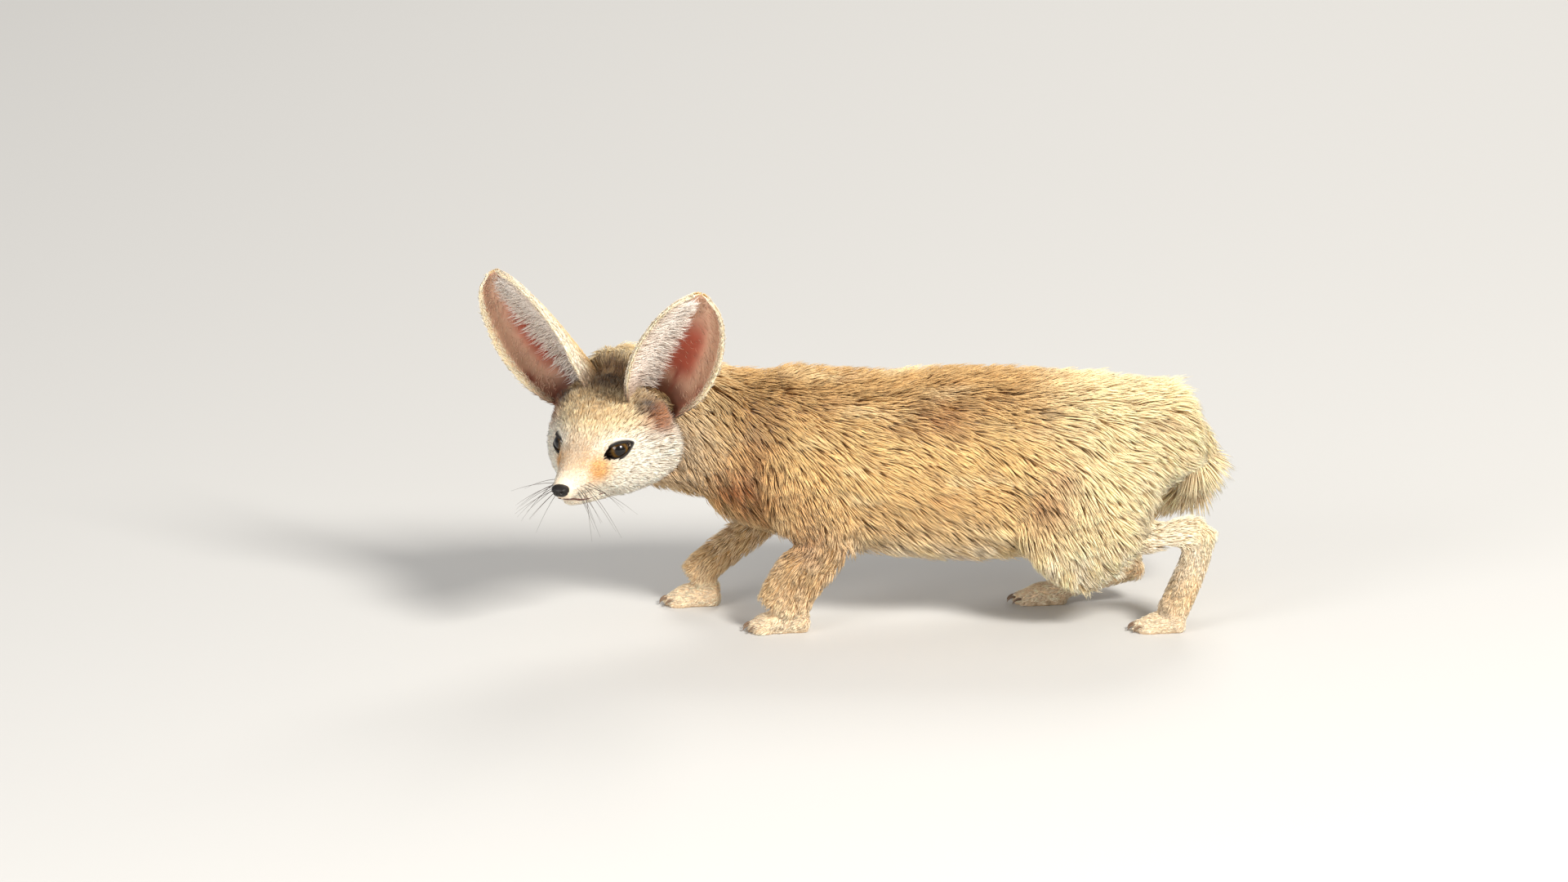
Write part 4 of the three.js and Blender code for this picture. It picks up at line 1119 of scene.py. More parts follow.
def nose_pad(rings=72, sides=96):
    """A ball with its pole to the front: radius = 1 - nostril - slit - groove + wing.

    A nostril is a bell about a place on each side, and its slit a lower one further out. The wing
    swells above both. The groove is a bell across the middle that fades out upwards.
    """
    a = np.linspace(0, np.pi, rings)[:, None]
    b = np.linspace(0, 2 * np.pi, sides, endpoint=False)[None, :]
    x, y, z = np.cos(a) + 0 * b, np.sin(a) * np.cos(b), np.sin(a) * np.sin(b)
    side_y = np.abs(y)
    nostril = 0.34 * np.exp(-((side_y - 0.5) / 0.17) ** 2 - ((z + 0.06) / 0.17) ** 2) * (x > 0)
    slit = 0.2 * np.exp(-((side_y - 0.76) / 0.2) ** 2 - ((z + 0.3 + 0.1 * side_y) / 0.1) ** 2)
    slit = slit * (x > -0.3)
    groove = 0.09 * np.exp(-(y / 0.07) ** 2) * fade(-z, -0.25, 0.2) * (x > 0)
    wing = 0.07 * np.exp(-((side_y - 0.62) / 0.2) ** 2 - ((z - 0.3) / 0.25) ** 2)
    out = 1 - nostril - slit - groove + wing
    squared = np.stack([x, np.sign(y) * np.abs(y) ** 0.9, z * (1 - 0.16 * fade(z, 0.1, 1))], axis=-1)
    points = NOSE_CENTRE + squared * NOSE_RADII * out[..., None]
    return from_head(points.reshape(-1, 3)), grid_faces(rings, sides, round_columns=True)


points, faces = nose_pad()
nose = new_piece("nose_pad", points, outward(points, faces))
weld(nose)
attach(nose, "root")
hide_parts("nose")
print("nose pad:", len(faces), "faces")


# %% Tubes along smooth paths
def tubes(paths, radii, sides=6, steps=14):
    """Closed tapering tubes: paths (tubes x rows x 3), radii (tubes x rows), both smoothed.

    Each ring is middle + radius * (side cos b + up sin b), with side = along x a fixed direction.
    Each end is drawn together into one point.
    """
    t = np.linspace(0, 1, steps)
    all_points, all_faces = [], []
    for path, radius in zip(paths, radii):
        middle, along = path_of(path, t)
        r = smooth_through(np.asarray(radius, float)[:, None], t)
        side = unit(np.cross(along, [0.13, 0.21, 1.0]))
        up = np.cross(side, along)
        b = np.linspace(0, 2 * np.pi, sides, endpoint=False)
        ring = middle[:, None] + r[:, None] * (side[:, None] * np.cos(b)[None, :, None]
                                               + up[:, None] * np.sin(b)[None, :, None])
        whole = np.concatenate([np.repeat(middle[:1, None], sides, 1), ring,
                                np.repeat((middle[-1] + along[-1] * r[-1])[None, None], sides, 1)])
        faces = grid_faces(steps + 2, sides, round_columns=True)
        points = whole.reshape(-1, 3)
        all_faces.append(outward(points, faces) + sum(len(done) for done in all_points))
        all_points.append(points)
    return np.concatenate(all_points), np.concatenate(all_faces)


def snapped(points, off):
    """Places moved to the mean of the skin near them, weighted by exp(-(distance / 1.8)^2) beyond
    the nearest point, then off along the mean normal."""
    apart = np.linalg.norm(points[:, None] - skin_points[None], axis=2)
    weight = np.exp((apart.min(axis=1, keepdims=True) ** 2 - apart**2) / 1.8**2)
    weight /= weight.sum(axis=1, keepdims=True)
    return weight @ skin_points + unit(weight @ skin_normals) * off


# %% Lips
LIP_LINE = np.array([[38, 1.0, -19.4], [35.5, 3.6, -20.6], [31, 5.8, -21.6], [25, 7.4, -22.6],
                     [18, 9.4, -23.8], [11, 11.4, -25.0], [3, 13.6, -26.0]])
LIP_RADII = [0.3, 0.5, 0.5, 0.5, 0.45, 0.35, 0.15]
lip_paths = [snapped(from_head(on_side(side, LIP_LINE)), 0.3) for side in (1, -1)]
points, faces = tubes(lip_paths, [LIP_RADII] * 2, sides=10, steps=60)
lips = new_piece("lips", points, faces)
weld(lips)
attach(lips, "root")
print("lips:", len(lip_paths), "tubes")

# %% Whiskers
WHISKERS_A_SIDE = 12
# Whiskers end before this y in the drawing, so that they hardly pass the nose.
WHISKER_END = -104
whisker_draw = np.random.default_rng(31)
whisker_paths = []
for side in (1, -1):
    for number in range(WHISKERS_A_SIDE):
        row, place = divmod(number, 4)
        on_lip = [[32 - 3.4 * place - row, 8.0, -12.5 - 2.4 * row]]
        root = snapped(from_head(on_side(side, on_lip)), 0.0)[0]
        reach = whisker_draw.uniform(16, 26) + 2.5 * place
        way = unit(on_side(side, [0.5 - 0.14 * place, 1.0, -0.3 - 0.26 * row]) @ HEAD_AXES)
        way = unit(way + 0.18 * whisker_draw.normal(size=3))
        reach = min(reach, (WHISKER_END - root[1]) / min(way[1], -0.01))
        sag = np.array([0, 0, -1.0]) * reach * whisker_draw.uniform(0.12, 0.3)
        s = np.linspace(0, 1, 5)[:, None]
        whisker_paths.append(root + way * reach * s + sag * s**2)
points, faces = tubes(whisker_paths, [[0.15, 0.14, 0.11, 0.07, 0.03]] * len(whisker_paths), 5, 14)
whiskers = new_piece("whiskers", points, faces)
weld(whiskers)
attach(whiskers, "root")
print("whiskers:", len(whisker_paths))

# %% Claws
claw_paths = []
for leg in LEGS.values():
    for centre in toe_centres(leg):
        tip = centre - [5.6, 0, 0]
        claw_paths.append(np.array([tip + [2.2, 0, 1.2], tip + [0.2, 0, 1.0], tip + [-1.6, 0, -0.1],
                                    tip + [-2.6, 0, -1.8]]))
points, faces = tubes(claw_paths, [[0.75, 0.7, 0.5, 0.12]] * len(claw_paths), 8, 10)
claws = new_piece("claws", points, faces)
weld(claws)
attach(claws, "root")
print("claws:", len(claw_paths))


# %% [markdown]
# ## A coat of solid tufts
#
# What shows of a fox is its coat: thousands of tapering locks that overlap like tiles, gather at
# their tips and part to show the underfur, which the skin stands for here, painted darker as the
# shade among the tufts. Particle hair would draw it quickly, but it isn't a mesh. Each tuft here is
# a closed three-sided tube along a curved path, and all tufts of a region are worked out at once as
# arrays.
# region are worked out at once as arrays.

# %% Tufts as closed tubes
def tuft_corners(paths, outs, widths, taper):
    """Points of tufts (tufts x corners x 3) from paths (tufts x rings and tip x 3).

    Each ring has three corners: half a width to either side of the path, and a ridge raised
    along out. Side = out x (direction of the path), and the half width is width * taper / 2.
    """
    rings = paths[:, :-1]
    along = unit(paths[:, 1:] - rings)
    out = np.broadcast_to(outs[:, None, :], along.shape)
    side = unit(np.cross(out, along))
    half = (0.5 * widths[:, None] * np.asarray(taper))[..., None]
    corners = np.stack([rings - side * half, rings + side * half, rings + out * half * 0.9], axis=2)
    return np.concatenate([corners.reshape(len(paths), -1, 3), paths[:, -1:]], axis=1)


def tuft_triangles(tufts, rings):
    """Triangles of that many tufts: a base, six for each gap between rings, and three at the tip."""
    one = [[0, 2, 1]]
    for j in range(3 * (rings - 1)):
        over = j + 1 if j % 3 < 2 else j - 2
        one += [[j, over, over + 3], [j, over + 3, j + 3]]
    last = 3 * (rings - 1)
    one += [[last, last + 1, last + 3], [last + 1, last + 2, last + 3], [last + 2, last, last + 3]]
    starts = np.arange(tufts) * (3 * rings + 1)
    return (np.array(one)[None] + starts[:, None, None]).reshape(-1, 3)


# The side of a tuft's patch on the unwrap.
BAKE_PATCH = 0.003


def coat_piece(name, slot, paths, outs, widths, taper, colours, places):
    """A piece of coat: colours has one row for each tuft and ring (tip last), places one a tuft.

    OFBake holds each tuft's place on the body's unwrap, spread over a small patch, and Strand runs
    across and along the tuft.
    """
    rings = paths.shape[1] - 1
    points = tuft_corners(paths, outs, widths, taper)
    piece = new_piece(name, points.reshape(-1, 3), tuft_triangles(len(paths), rings))
    per_corner = np.concatenate([np.repeat(colours[:, :-1], 3, axis=1), colours[:, -1:]], axis=1)
    paint(piece, "tint", per_corner.reshape(-1, 3))
    across = np.array([0, 1, 0.5] * rings + [0.5])
    along = np.array(list(np.repeat(np.arange(rings) / rings, 3)) + [1.0])
    strand = np.stack([across, along], axis=-1)
    patch = places[:, None, :] + BAKE_PATCH * (strand - 0.5)[None]
    unwrap(piece, "OFBake", patch.reshape(-1, 2))
    unwrap(piece, "Strand", np.tile(strand, (len(paths), 1)))
    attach(piece, "root")
    return piece


def painted_root_shade(tints, steps, root=0.88, tip=1.06):
    """Colours down each tuft: painted shade makes it warm and dark at the root, where shade falls among
    the tufts, and a little paler at the tip.
    """
    s = np.linspace(0, 1, steps)[None, :, None]
    # Painted shade: towards its root each tuft is darker and redder, as the shade among the tufts.
    shade = root + (tip - root) * s**0.8
    warm = 1 - (1 - s) * np.array([0.0, 0.13, 0.24])
    return np.clip(tints[:, None, :] * shade * warm, 0, 1)


# %% Where tufts are rooted
def scattered(values, chosen, spots):
    """A value at random spots (two shares each) on chosen faces of the skin."""
    p, q = spots[:, 0:1], spots[:, 1:2]
    corner = values[skin_faces[chosen]]
    return (corner[:, 0] * (1 - p) * (1 - q) + corner[:, 1] * p * (1 - q)
            + corner[:, 2] * p * q + corner[:, 3] * (1 - p) * q)


def nearest_of(points, centres):
    """The index of the nearest centre for each point, worked out in chunks."""
    found = []
    for chunk in in_chunks(points, 2000):
        apart = (centres**2).sum(axis=1)[None] - 2 * chunk @ centres.T
        found.append(apart.argmin(axis=1))
    return np.concatenate(found)


def unwrapped(points, form_of):
    """Places on an unwrap of the body's own shape, with a column for each form.

    The angle round the form goes across its column. Upwards goes the distance from the form's
    start over the sum of the distances from its start and its end.
    """
    places = np.zeros((len(points), 2))
    present = np.unique(form_of)
    for column, form in enumerate(present):
        mine = form_of == form
        rows, rise, in_head = axes[form]
        here = to_head(points[mine]) if in_head else points[mine]
        start, end = rows[0, :3], rows[-1, :3]
        share = np.clip((here - start) @ (end - start) / ((end - start) @ (end - start)), 0, 1)
        middle, along = path_of(rows, share)
        up = unit(np.asarray(rise, float) - along * (along @ np.asarray(rise, float))[:, None])
        off = here - middle
        angle = np.arctan2((off * np.cross(up, along)).sum(axis=1), (off * up).sum(axis=1))
        from_start = np.linalg.norm(here - start, axis=1)
        from_end = np.linalg.norm(here - end, axis=1)
        places[mine, 0] = (column + 0.03 + 0.94 * (angle / (2 * np.pi) + 0.5)) / len(present)
        places[mine, 1] = 0.01 + 0.98 * from_start / (from_start + from_end)
    return places


def nearest_form(points):
    """The form whose guide point is nearest, measured against the form's thickness."""
    found = []
    for chunk in in_chunks(points, 4000):
        apart = np.linalg.norm(chunk[:, None, :] - guides["at"][None], axis=2) / guides["radius"]
        found.append(guides["form"][apart.argmin(axis=1)])
    return np.concatenate(found)


# %% Which places are bare
BARE_NOSE_AT = np.array([37.2, 0, -12.6])
BARE_NOSE_RADIUS = 6.0


def bare(points, normals):
    """True in the eye openings, on the nose pad and under the soles."""
    nothing = np.linalg.norm(to_head(points) - BARE_NOSE_AT, axis=1) < BARE_NOSE_RADIUS
    nothing |= (points[:, 2] < SOLE_HEIGHT) & (normals[:, 2] < -0.3)
    for side in (1, -1):
        seen = in_gaze(side, points)
        close = (np.hypot(seen[:, 0], seen[:, 1]) < 13) & (seen[:, 2] > 0)
        nothing |= close & (almond_depth(seen[:, 0] / 1.16, seen[:, 1] / 1.45) < 1.0)
    return nothing


# %% Grow the coat
LONG_TAPER = [0.8, 1.0, 0.62]
SHORT_TAPER = [0.85, 0.8]
TUFTS_PER_PIECE = {4: 12000, 3: 19000}
LOWEST_HAIR = 0.5
ROOT_DEPTH = 0.25
TAIL_RISE = 6.5


def taper_of(steps):
    """Width shares of the rings of a tuft whose path has that many points, tip included."""
    return LONG_TAPER if steps == 4 else SHORT_TAPER


face_area = 0.5 * np.linalg.norm(np.cross(
    skin_points[skin_faces[:, 2]] - skin_points[skin_faces[:, 0]],
    skin_points[skin_faces[:, 3]] - skin_points[skin_faces[:, 1]]), axis=1)


def density_of(coat):
    """Tufts to a square mm: enough of them, at their length and width, to overlap several times."""
    return np.clip(6.6 / (coat[:, 1] * coat[:, 2]), 0.5, 3.8)


def grow(region, faces_in, slot, steps, clump, gather, turn, seed, thinning=1.0):
    """Tufts over some of the skin's faces, as pieces small enough to export.

    steps is the number of path points, clump the spacing of clumps in mm where hair is 15 mm long,
    gather the share of the way that tips are drawn to their clump's middle, and turn the clumps'
    spread of direction. Path = root + pull s^1.5 + along length (s - 0.12 s^2)
    + out rise (1.7 s - 0.8 s^2), with s from 0 at the root to 1 at the tip.
    """
    draw = np.random.default_rng(seed)
    mean_coat = skin_coat[skin_faces[faces_in]].mean(axis=1)
    chance = face_area[faces_in] * density_of(mean_coat) * thinning
    count = int(chance.sum())
    chosen = faces_in[draw.choice(len(faces_in), count, p=chance / chance.sum())]
    spots = draw.random((count, 2))
    root = scattered(skin_points, chosen, spots)
    out = unit(scattered(skin_normals, chosen, spots))
    keep = ~bare(root, out)
    root, out, chosen, spots = root[keep], out[keep], chosen[keep], spots[keep]
    lie = scattered(skin_lie, chosen, spots)
    coat = scattered(skin_coat, chosen, spots)
    tint = scattered(skin_tint, chosen, spots)
    part = skin_part[skin_faces[chosen, 0]]
    spacing = np.maximum(clump * coat[:, 1] / 15, 1.2)
    picks = draw.random(len(root)) < np.clip(1 / (spacing**2 * density_of(coat)), 0, 0.5)
    centres = root[picks]
    mine = nearest_of(root, centres)
    shared = draw.normal(size=(len(centres), 4))[mine]
    own = draw.normal(size=(len(root), 4))
    swirl = 0.28 * ripple(root, 34, seed)[:, None] * np.minimum(coat[:, 1:2] / 15, 1)
    bend = np.cross(out, lie) * (turn * shared[:, :1] + 0.45 * turn * own[:, :1] + swirl)
    along = unit(lie + bend - out * ((lie + bend) * out).sum(axis=1, keepdims=True))
    length = coat[:, 1] * np.clip(1 + 0.12 * shared[:, 1] + 0.1 * own[:, 1], 0.6, 1.4)
    rise = np.where(is_part(part, "tail"), TAIL_RISE, coat[:, 0])
    rise = rise * (1 - 0.35 * face_weight(root) * fade(to_head(root)[:, 2], 16, 30))
    rise = rise * (1 - 0.6 * spot(to_head(root), (-44, 0, 36), (18, 28, 18)))
    rise = rise * np.clip(1 + 0.08 * shared[:, 2] + 0.1 * own[:, 2], 0.3, 1.4)
    pull = gather * (centres[mine] - root)
    pull = pull - out * (pull * out).sum(axis=1, keepdims=True)
    s = np.linspace(0, 1, steps)[None, :, None]
    paths = (root - ROOT_DEPTH * out)[:, None] + pull[:, None] * s**1.5 \
        + (along * length[:, None])[:, None] * (s - 0.12 * s**2) \
        + (out * rise[:, None])[:, None] * (1.7 * s - 0.8 * s**2)
    paths[..., 2] = np.maximum(paths[..., 2], LOWEST_HAIR)
    tone = np.clip(1 + 0.07 * shared[:, 3:] + 0.07 * own[:, 3:], 0.7, 1.25)
    colours = painted_root_shade(tint * tone, steps)
    width = coat[:, 2] * np.clip(1 + 0.2 * own[:, 0], 0.6, 1.5)
    places = unwrapped(root, nearest_form(root))
    order = np.argsort(root[:, 0], kind="stable")
    parts = np.array_split(order, -(-len(root) // TUFTS_PER_PIECE[steps]))
    for number, rows in enumerate(parts, 1):
        coats.append(coat_piece(f"coat_{region}_{number}", slot, paths[rows], out[rows], width[rows],
                                taper_of(steps), colours[rows], places[rows]))
    print(f"coat of the {region}:", len(root), "tufts in", len(centres), "clumps,", len(parts), "pieces")


coats = []
middle_of_faces = skin_points[skin_faces].mean(axis=1)
face_share = face_weight(middle_of_faces)
face_part = skin_part[skin_faces[:, 0]]
is_head = face_share > 0.5
is_tail = is_part(face_part, "tail") & ~is_head
is_leg = is_part(face_part, *LOWER_LEG) & ~is_head
is_trunk = ~(is_head | is_tail | is_leg)
grow("head", np.flatnonzero(is_head), "pale_fur", 3, 6.0, 0.3, 0.12, 21, 0.92)
grow("trunk", np.flatnonzero(is_trunk), "buff_fur", 4, 4.4, 0.22, 0.1, 22, 0.96)
grow("legs", np.flatnonzero(is_leg), "pale_fur", 3, 6.0, 0.3, 0.12, 23, 0.46)
grow("tail", np.flatnonzero(is_tail), "dark_fur", 4, 6.0, 0.3, 0.1, 24, 1.4)


# %% [markdown]
# ## Fur of the ears
#
# The back of the ear has short dense fur that points to the tip, its rim a pale fringe, and from
# its inner edge long silky white hairs reach over the cup and leave the outer half bare. Rooting
# them by hand would be slow: here each hair is a short walk over the ear's own surface function.

# %% Hairs that walk over an ear
EAR_HAIRS = {"back": 3600, "rim": 2800, "silk": 3400, "down": 1200}
FRINGE_WHITE = linear(255, 248, 230)
SILK_WHITE = linear(255, 253, 248)
SILK_PINK = linear(236, 200, 176)
DOWN_PALE = linear(244, 216, 190)
DOWN_PINK = linear(214, 150, 124)


def ear_hairs(side, u, a, way, length, width, height, start, tints, steps):
    """Paths, directions out, widths, colours and unwrapped places of hairs on one ear.

    way holds the walk's share up the ear and round it, height how far a hair stands off the
    surface at its top (negative within the cup), and start where its root lies. The unwrap is
    the flat leaf: its roll share across and its height share up.
    """
    s = np.linspace(0, 1, steps)[None, :]
    leaf = np.interp(u, ear_steps[:, 0], ear_steps[:, 1])
    u_path = u[:, None] + (way[:, :1] * length[:, None] / EARS[side]["length"]) * s
    a_path = a[:, None] + (way[:, 1:] * (length / leaf)[:, None]) * s
    off = start[:, None] + height[:, None] * np.sin(0.8 * np.pi * s)
    paths = ear_surface(side, np.minimum(u_path, 1.02), a_path, off)
    outs = unit(ear_surface(side, u, a, start + np.sign(height)) - ear_surface(side, u, a, start))
    places = np.stack([0.02 + 0.48 * (a + 1), 0.02 + 0.8 * (u + 0.2)], axis=-1)
    return paths, outs, width, taper_of(steps), painted_root_shade(tints, steps, 0.95, 1.04), places


def back_hairs(side, draw):
    """Short fur over the whole back of an ear, which points to its tip."""
    count = EAR_HAIRS["back"]
    u, a = draw.uniform(-0.16, 0.985, count), draw.uniform(-0.98, 0.98, count)
    way = np.stack([np.ones(count), 0.25 * draw.normal(size=count)], axis=-1)
    tints = ear_colour(u, a * side, np.zeros(count)) * draw.uniform(0.9, 1.08, (count, 1))
    length, width = draw.uniform(3.2, 5.2, count), draw.uniform(0.4, 0.62, count)
    height, start = draw.uniform(0.5, 1.0, count), np.full(count, EAR_THICKNESS * 0.8)
    return ear_hairs(side, u, a, way, length, width, height, start, tints, 3)


def rim_hairs(side, draw):
    """A pale fringe along both edges of an ear, thickest low on it."""
    count = EAR_HAIRS["rim"]
    u = 1.0 - draw.random(count) ** 1.15
    edge = np.where(draw.random(count) < 0.5, -1.0, 1.0)
    a = edge * draw.uniform(0.86, 1.0, count)
    way = np.stack([draw.uniform(0.5, 1.0, count), edge * draw.uniform(-0.15, 0.5, count)], axis=-1)
    tints = mixed(np.tile(FRINGE_WHITE, (count, 1)), CREAM, draw.uniform(0, 0.6, count))
    tints = mixed(tints, EAR_FOOT_BROWN, 0.75 * (1 - fade(u, 0.02, 0.24)))
    length, width = draw.uniform(2.8, 5.0, count), draw.uniform(0.34, 0.5, count)
    height, start = draw.uniform(-1.5, 1.3, count), np.full(count, 0.3)
    return ear_hairs(side, u, a, way, length, width, height, start, tints, 3)


def silk_hairs(side, draw):
    """Long white hairs rooted by an ear's inner edge, which reach over the cup."""
    count = EAR_HAIRS["silk"]
    u = draw.uniform(0.02, 0.93, count)
    lateral = -0.97 + EARS[side]["silk"] * draw.random(count) ** 1.3
    rising = -0.1 + 0.55 * fade(u, 0.35, 0.95)
    way = np.stack([rising + 0.2 * draw.normal(size=count), np.full(count, 1.0 * side)], axis=-1)
    length = draw.uniform(8, 19, count) * (1 - 0.45 * fade(u, 0.55, 0.95))
    length = length * (1 - 0.35 * fade(lateral, -0.7, -0.3))
    tints = mixed(np.tile(SILK_WHITE, (count, 1)), SILK_PINK, draw.uniform(0, 0.3, count))
    low_at_edge = (1 - fade(u, 0.04, 0.34)) * (1 - fade(lateral, -0.8, -0.4))
    tints = mixed(tints, EAR_FOOT_BROWN, 0.7 * low_at_edge)
    width = draw.uniform(0.26, 0.46, count)
    height, start = -draw.uniform(0.8, 4.2, count), np.full(count, -0.1)
    return ear_hairs(side, u, lateral * side, way, length, width, height, start, tints, 4)


def down_hairs(side, draw):
    """Fine down within an ear, sparse over the bare middle of its outer half."""
    count = EAR_HAIRS["down"]
    u = draw.uniform(0.04, 0.97, count)
    lateral = draw.uniform(-0.95, 0.95, count)
    keep = (lateral < 0.1) | (lateral > 0.55) | (u > 0.75) | (draw.random(count) < 0.25)
    u, lateral = u[keep], lateral[keep]
    count = len(u)
    way = np.stack([0.5 + 0.3 * draw.normal(size=count), -0.5 * side * np.sign(lateral)], axis=-1)
    tints = mixed(np.tile(DOWN_PALE, (count, 1)), DOWN_PINK, draw.uniform(0, 0.6, count))
    length, width = draw.uniform(2.5, 5, count), draw.uniform(0.22, 0.34, count)
    height, start = -draw.uniform(0.3, 0.8, count), np.full(count, -0.1)
    return ear_hairs(side, u, lateral * side, way, length, width, height, start, tints, 3)


def ear_coat(side, name, draw):
    """The four coats of one ear: its back, its rim, and the silk and the down within."""
    groups = [("back", "buff_fur", back_hairs(side, draw)), ("rim", "pale_fur", rim_hairs(side, draw)),
              ("silk", "pale_fur", silk_hairs(side, draw)), ("down", "pale_fur", down_hairs(side, draw))]
    for kind, slot, hairs in groups:
        coats.append(coat_piece(f"ear_{kind}_{name}", slot, *hairs))
    print(f"{name} ear:", sum(len(hairs[0]) for _, _, hairs in groups), "hairs")


for side, name in SIDES:
    ear_coat(side, name, np.random.default_rng(41 + side))


# %% [markdown]
# ## Finishes
#
# Fur is matt at its roots and silky along its length, an eye is wet, a nose is pebbled leather.
# Nodes could be wired by hand in the editor. Here a small class wraps a socket, so that shader
# maths reads as plain expressions, and one method adds every other node.

# %% Shader maths as expressions
class Socket:
    """A node's output: each operator adds a Math node and gives its output."""

    def __init__(self, finish, output):
        self.finish = finish
        self.output = output

    def math(self, operation, first, second=0.0):
        """The output of a new Math node."""
        return self.finish.node("Math", {"operation": operation}, {0: first, 1: second})

    def __add__(self, other):
        return self.math("ADD", self, other)

    def __sub__(self, other):
        return self.math("SUBTRACT", self, other)

    def __rsub__(self, other):
        return self.math("SUBTRACT", other, self)

    def __mul__(self, other):
        return self.math("MULTIPLY", self, other)

    __radd__ = __add__
    __rmul__ = __mul__


class Finish:
    """A material on a Principled shader: constants first, then what changes over the surface."""

    def __init__(self, name, constants):
        self.material = bpy.data.materials.new(name)
        self.material.use_nodes = True
        self.tree = self.material.node_tree
        self.shader = self.tree.nodes["Principled BSDF"]
        self.feed(self.shader, constants)

    def feed(self, node, inputs):
        """Sets or links the sockets of a node."""
        for name, value in inputs.items():
            if isinstance(value, Socket):
                self.tree.links.new(value.output, node.inputs[name])
            else:
                node.inputs[name].default_value = value

    def node(self, kind, settings, inputs, output=0):
        """A node of a kind: its settings first, a ramp's stops among them, then its sockets."""
        made = self.tree.nodes.new("ShaderNode" + kind)
        for name, value in settings.items():
            if name == "stops":
                for place, colour in value[1:-1]:
                    made.color_ramp.elements.new(place).color = colour
                made.color_ramp.elements[0].position, made.color_ramp.elements[0].color = value[0]
                made.color_ramp.elements[-1].position, made.color_ramp.elements[-1].color = value[-1]
            else:
                setattr(made, name, value)
        self.feed(made, inputs)
        return Socket(self, made.outputs[output])

    def place(self):
        """The piece's own coordinates in metres."""
        return self.node("TexCoord", {}, {}, "Object")

    def noise(self, vector, scale, detail=3.0, roughness=0.5):
        """Noise from 0 to 1 with scale cells to the vector's unit."""
        return self.node("TexNoise", {}, {"Vector": vector, "Scale": scale, "Detail": detail,
                                          "Roughness": roughness})

    def attribute(self, name):
        """What paint stored on the piece's points under a name."""
        return self.node("Attribute", {"attribute_name": name}, {}, "Color")

    def blend(self, share, first, second):
        """The first colour turned towards the second by a share."""
        return self.node("Mix", {"data_type": "RGBA", "blend_type": "MIX"},
                         {0: share, 6: first, 7: second}, 2)

    def lit(self, colour, strength):
        """A colour made brighter or darker by a number, as a vector's scale."""
        return self.node("VectorMath", {"operation": "SCALE"}, {0: colour, "Scale": strength})

    def bump(self, height, strength, distance):
        """A normal tilted by a height, whose full swing is distance metres."""
        return self.node("Bump", {}, {"Height": height, "Strength": strength, "Distance": distance})


def four(colour):
    """A linear colour with full alpha."""
    return (*colour, 1.0)


# %% Fur
def fur_finish(name, roughness):
    """The tuft's own tint, streaked along its strands, with a fine grain from place to place."""
    fur = Finish(name, {"Specular IOR Level": 0.25, "Sheen Weight": 0.2, "Sheen Roughness": 0.5})
    strand = fur.node("UVMap", {"uv_map": "Strand"}, {})
    grain = fur.noise(fur.place(), 700.0)
    stretched = fur.node("VectorMath", {"operation": "MULTIPLY_ADD"},
                         {0: strand, 1: (5.0, 0.8, 0.0), 2: fur.lit(fur.place(), 120.0)})
    hairs = fur.noise(stretched, 1.6, 2.0)
    fur.feed(fur.shader, {
        "Base Color": fur.lit(fur.attribute("tint"), 0.66 + 0.42 * hairs + 0.26 * grain),
        "Roughness": roughness + 0.2 * hairs,
        "Normal": fur.bump(hairs, 0.35, 0.0003),
    })
    return fur.material


FUR = fur_finish("fox_fur", 0.55)
for coat in coats:
    coat.data.materials.append(FUR)


# %% Skin and the inside of the ears
def skin_finish():
    """Under-coat: the same markings as the tufts, darkened as painted shade among the tufts, with a
    felted bump.
    """
    felt = Finish("under_coat", {"Specular IOR Level": 0.15})
    fine = felt.noise(felt.place(), 900.0, 4.0, 0.6)
    felt.feed(felt.shader, {
        "Base Color": felt.lit(felt.attribute("tint"), 0.62 + 0.5 * fine),
        "Roughness": 0.75 + 0.15 * fine,
        "Normal": felt.bump(fine, 0.6, 0.0006),
    })
    return felt.material


def ear_finish():
    """Thin skin: mottled pink with faint pores; light glows a little through it."""
    ear = Finish("ear_skin", {"Specular IOR Level": 0.35, "Subsurface Weight": 0.2,
                              "Subsurface Scale": 0.002, "Subsurface Radius": (1.0, 0.35, 0.2)})
    mottle = ear.noise(ear.place(), 130.0, 4.0, 0.6)
    pores = ear.noise(ear.place(), 1400.0, 2.0)
    ear.feed(ear.shader, {
        "Base Color": ear.lit(ear.attribute("tint"), 0.72 + 0.5 * mottle),
        "Roughness": 0.5 + 0.2 * pores,
        "Normal": ear.bump(0.6 * mottle + 0.4 * pores, 0.35, 0.0005),
    })
    return ear.material


skin.data.materials.append(skin_finish())
skin.data.materials.append(ear_finish())
print("fur, skin and ear finishes")


# %% Eyes
IRIS_RINGS = [
    # distance from the gaze as a sine, screen colour
    (0.0, (8, 5, 4)), (0.36, (10, 6, 4)), (0.42, (52, 34, 12)), (0.56, (92, 66, 22)),
    (0.68, (62, 42, 16)), (0.76, (14, 9, 6)), (0.84, (36, 24, 18)), (1.0, (52, 36, 28)),
]


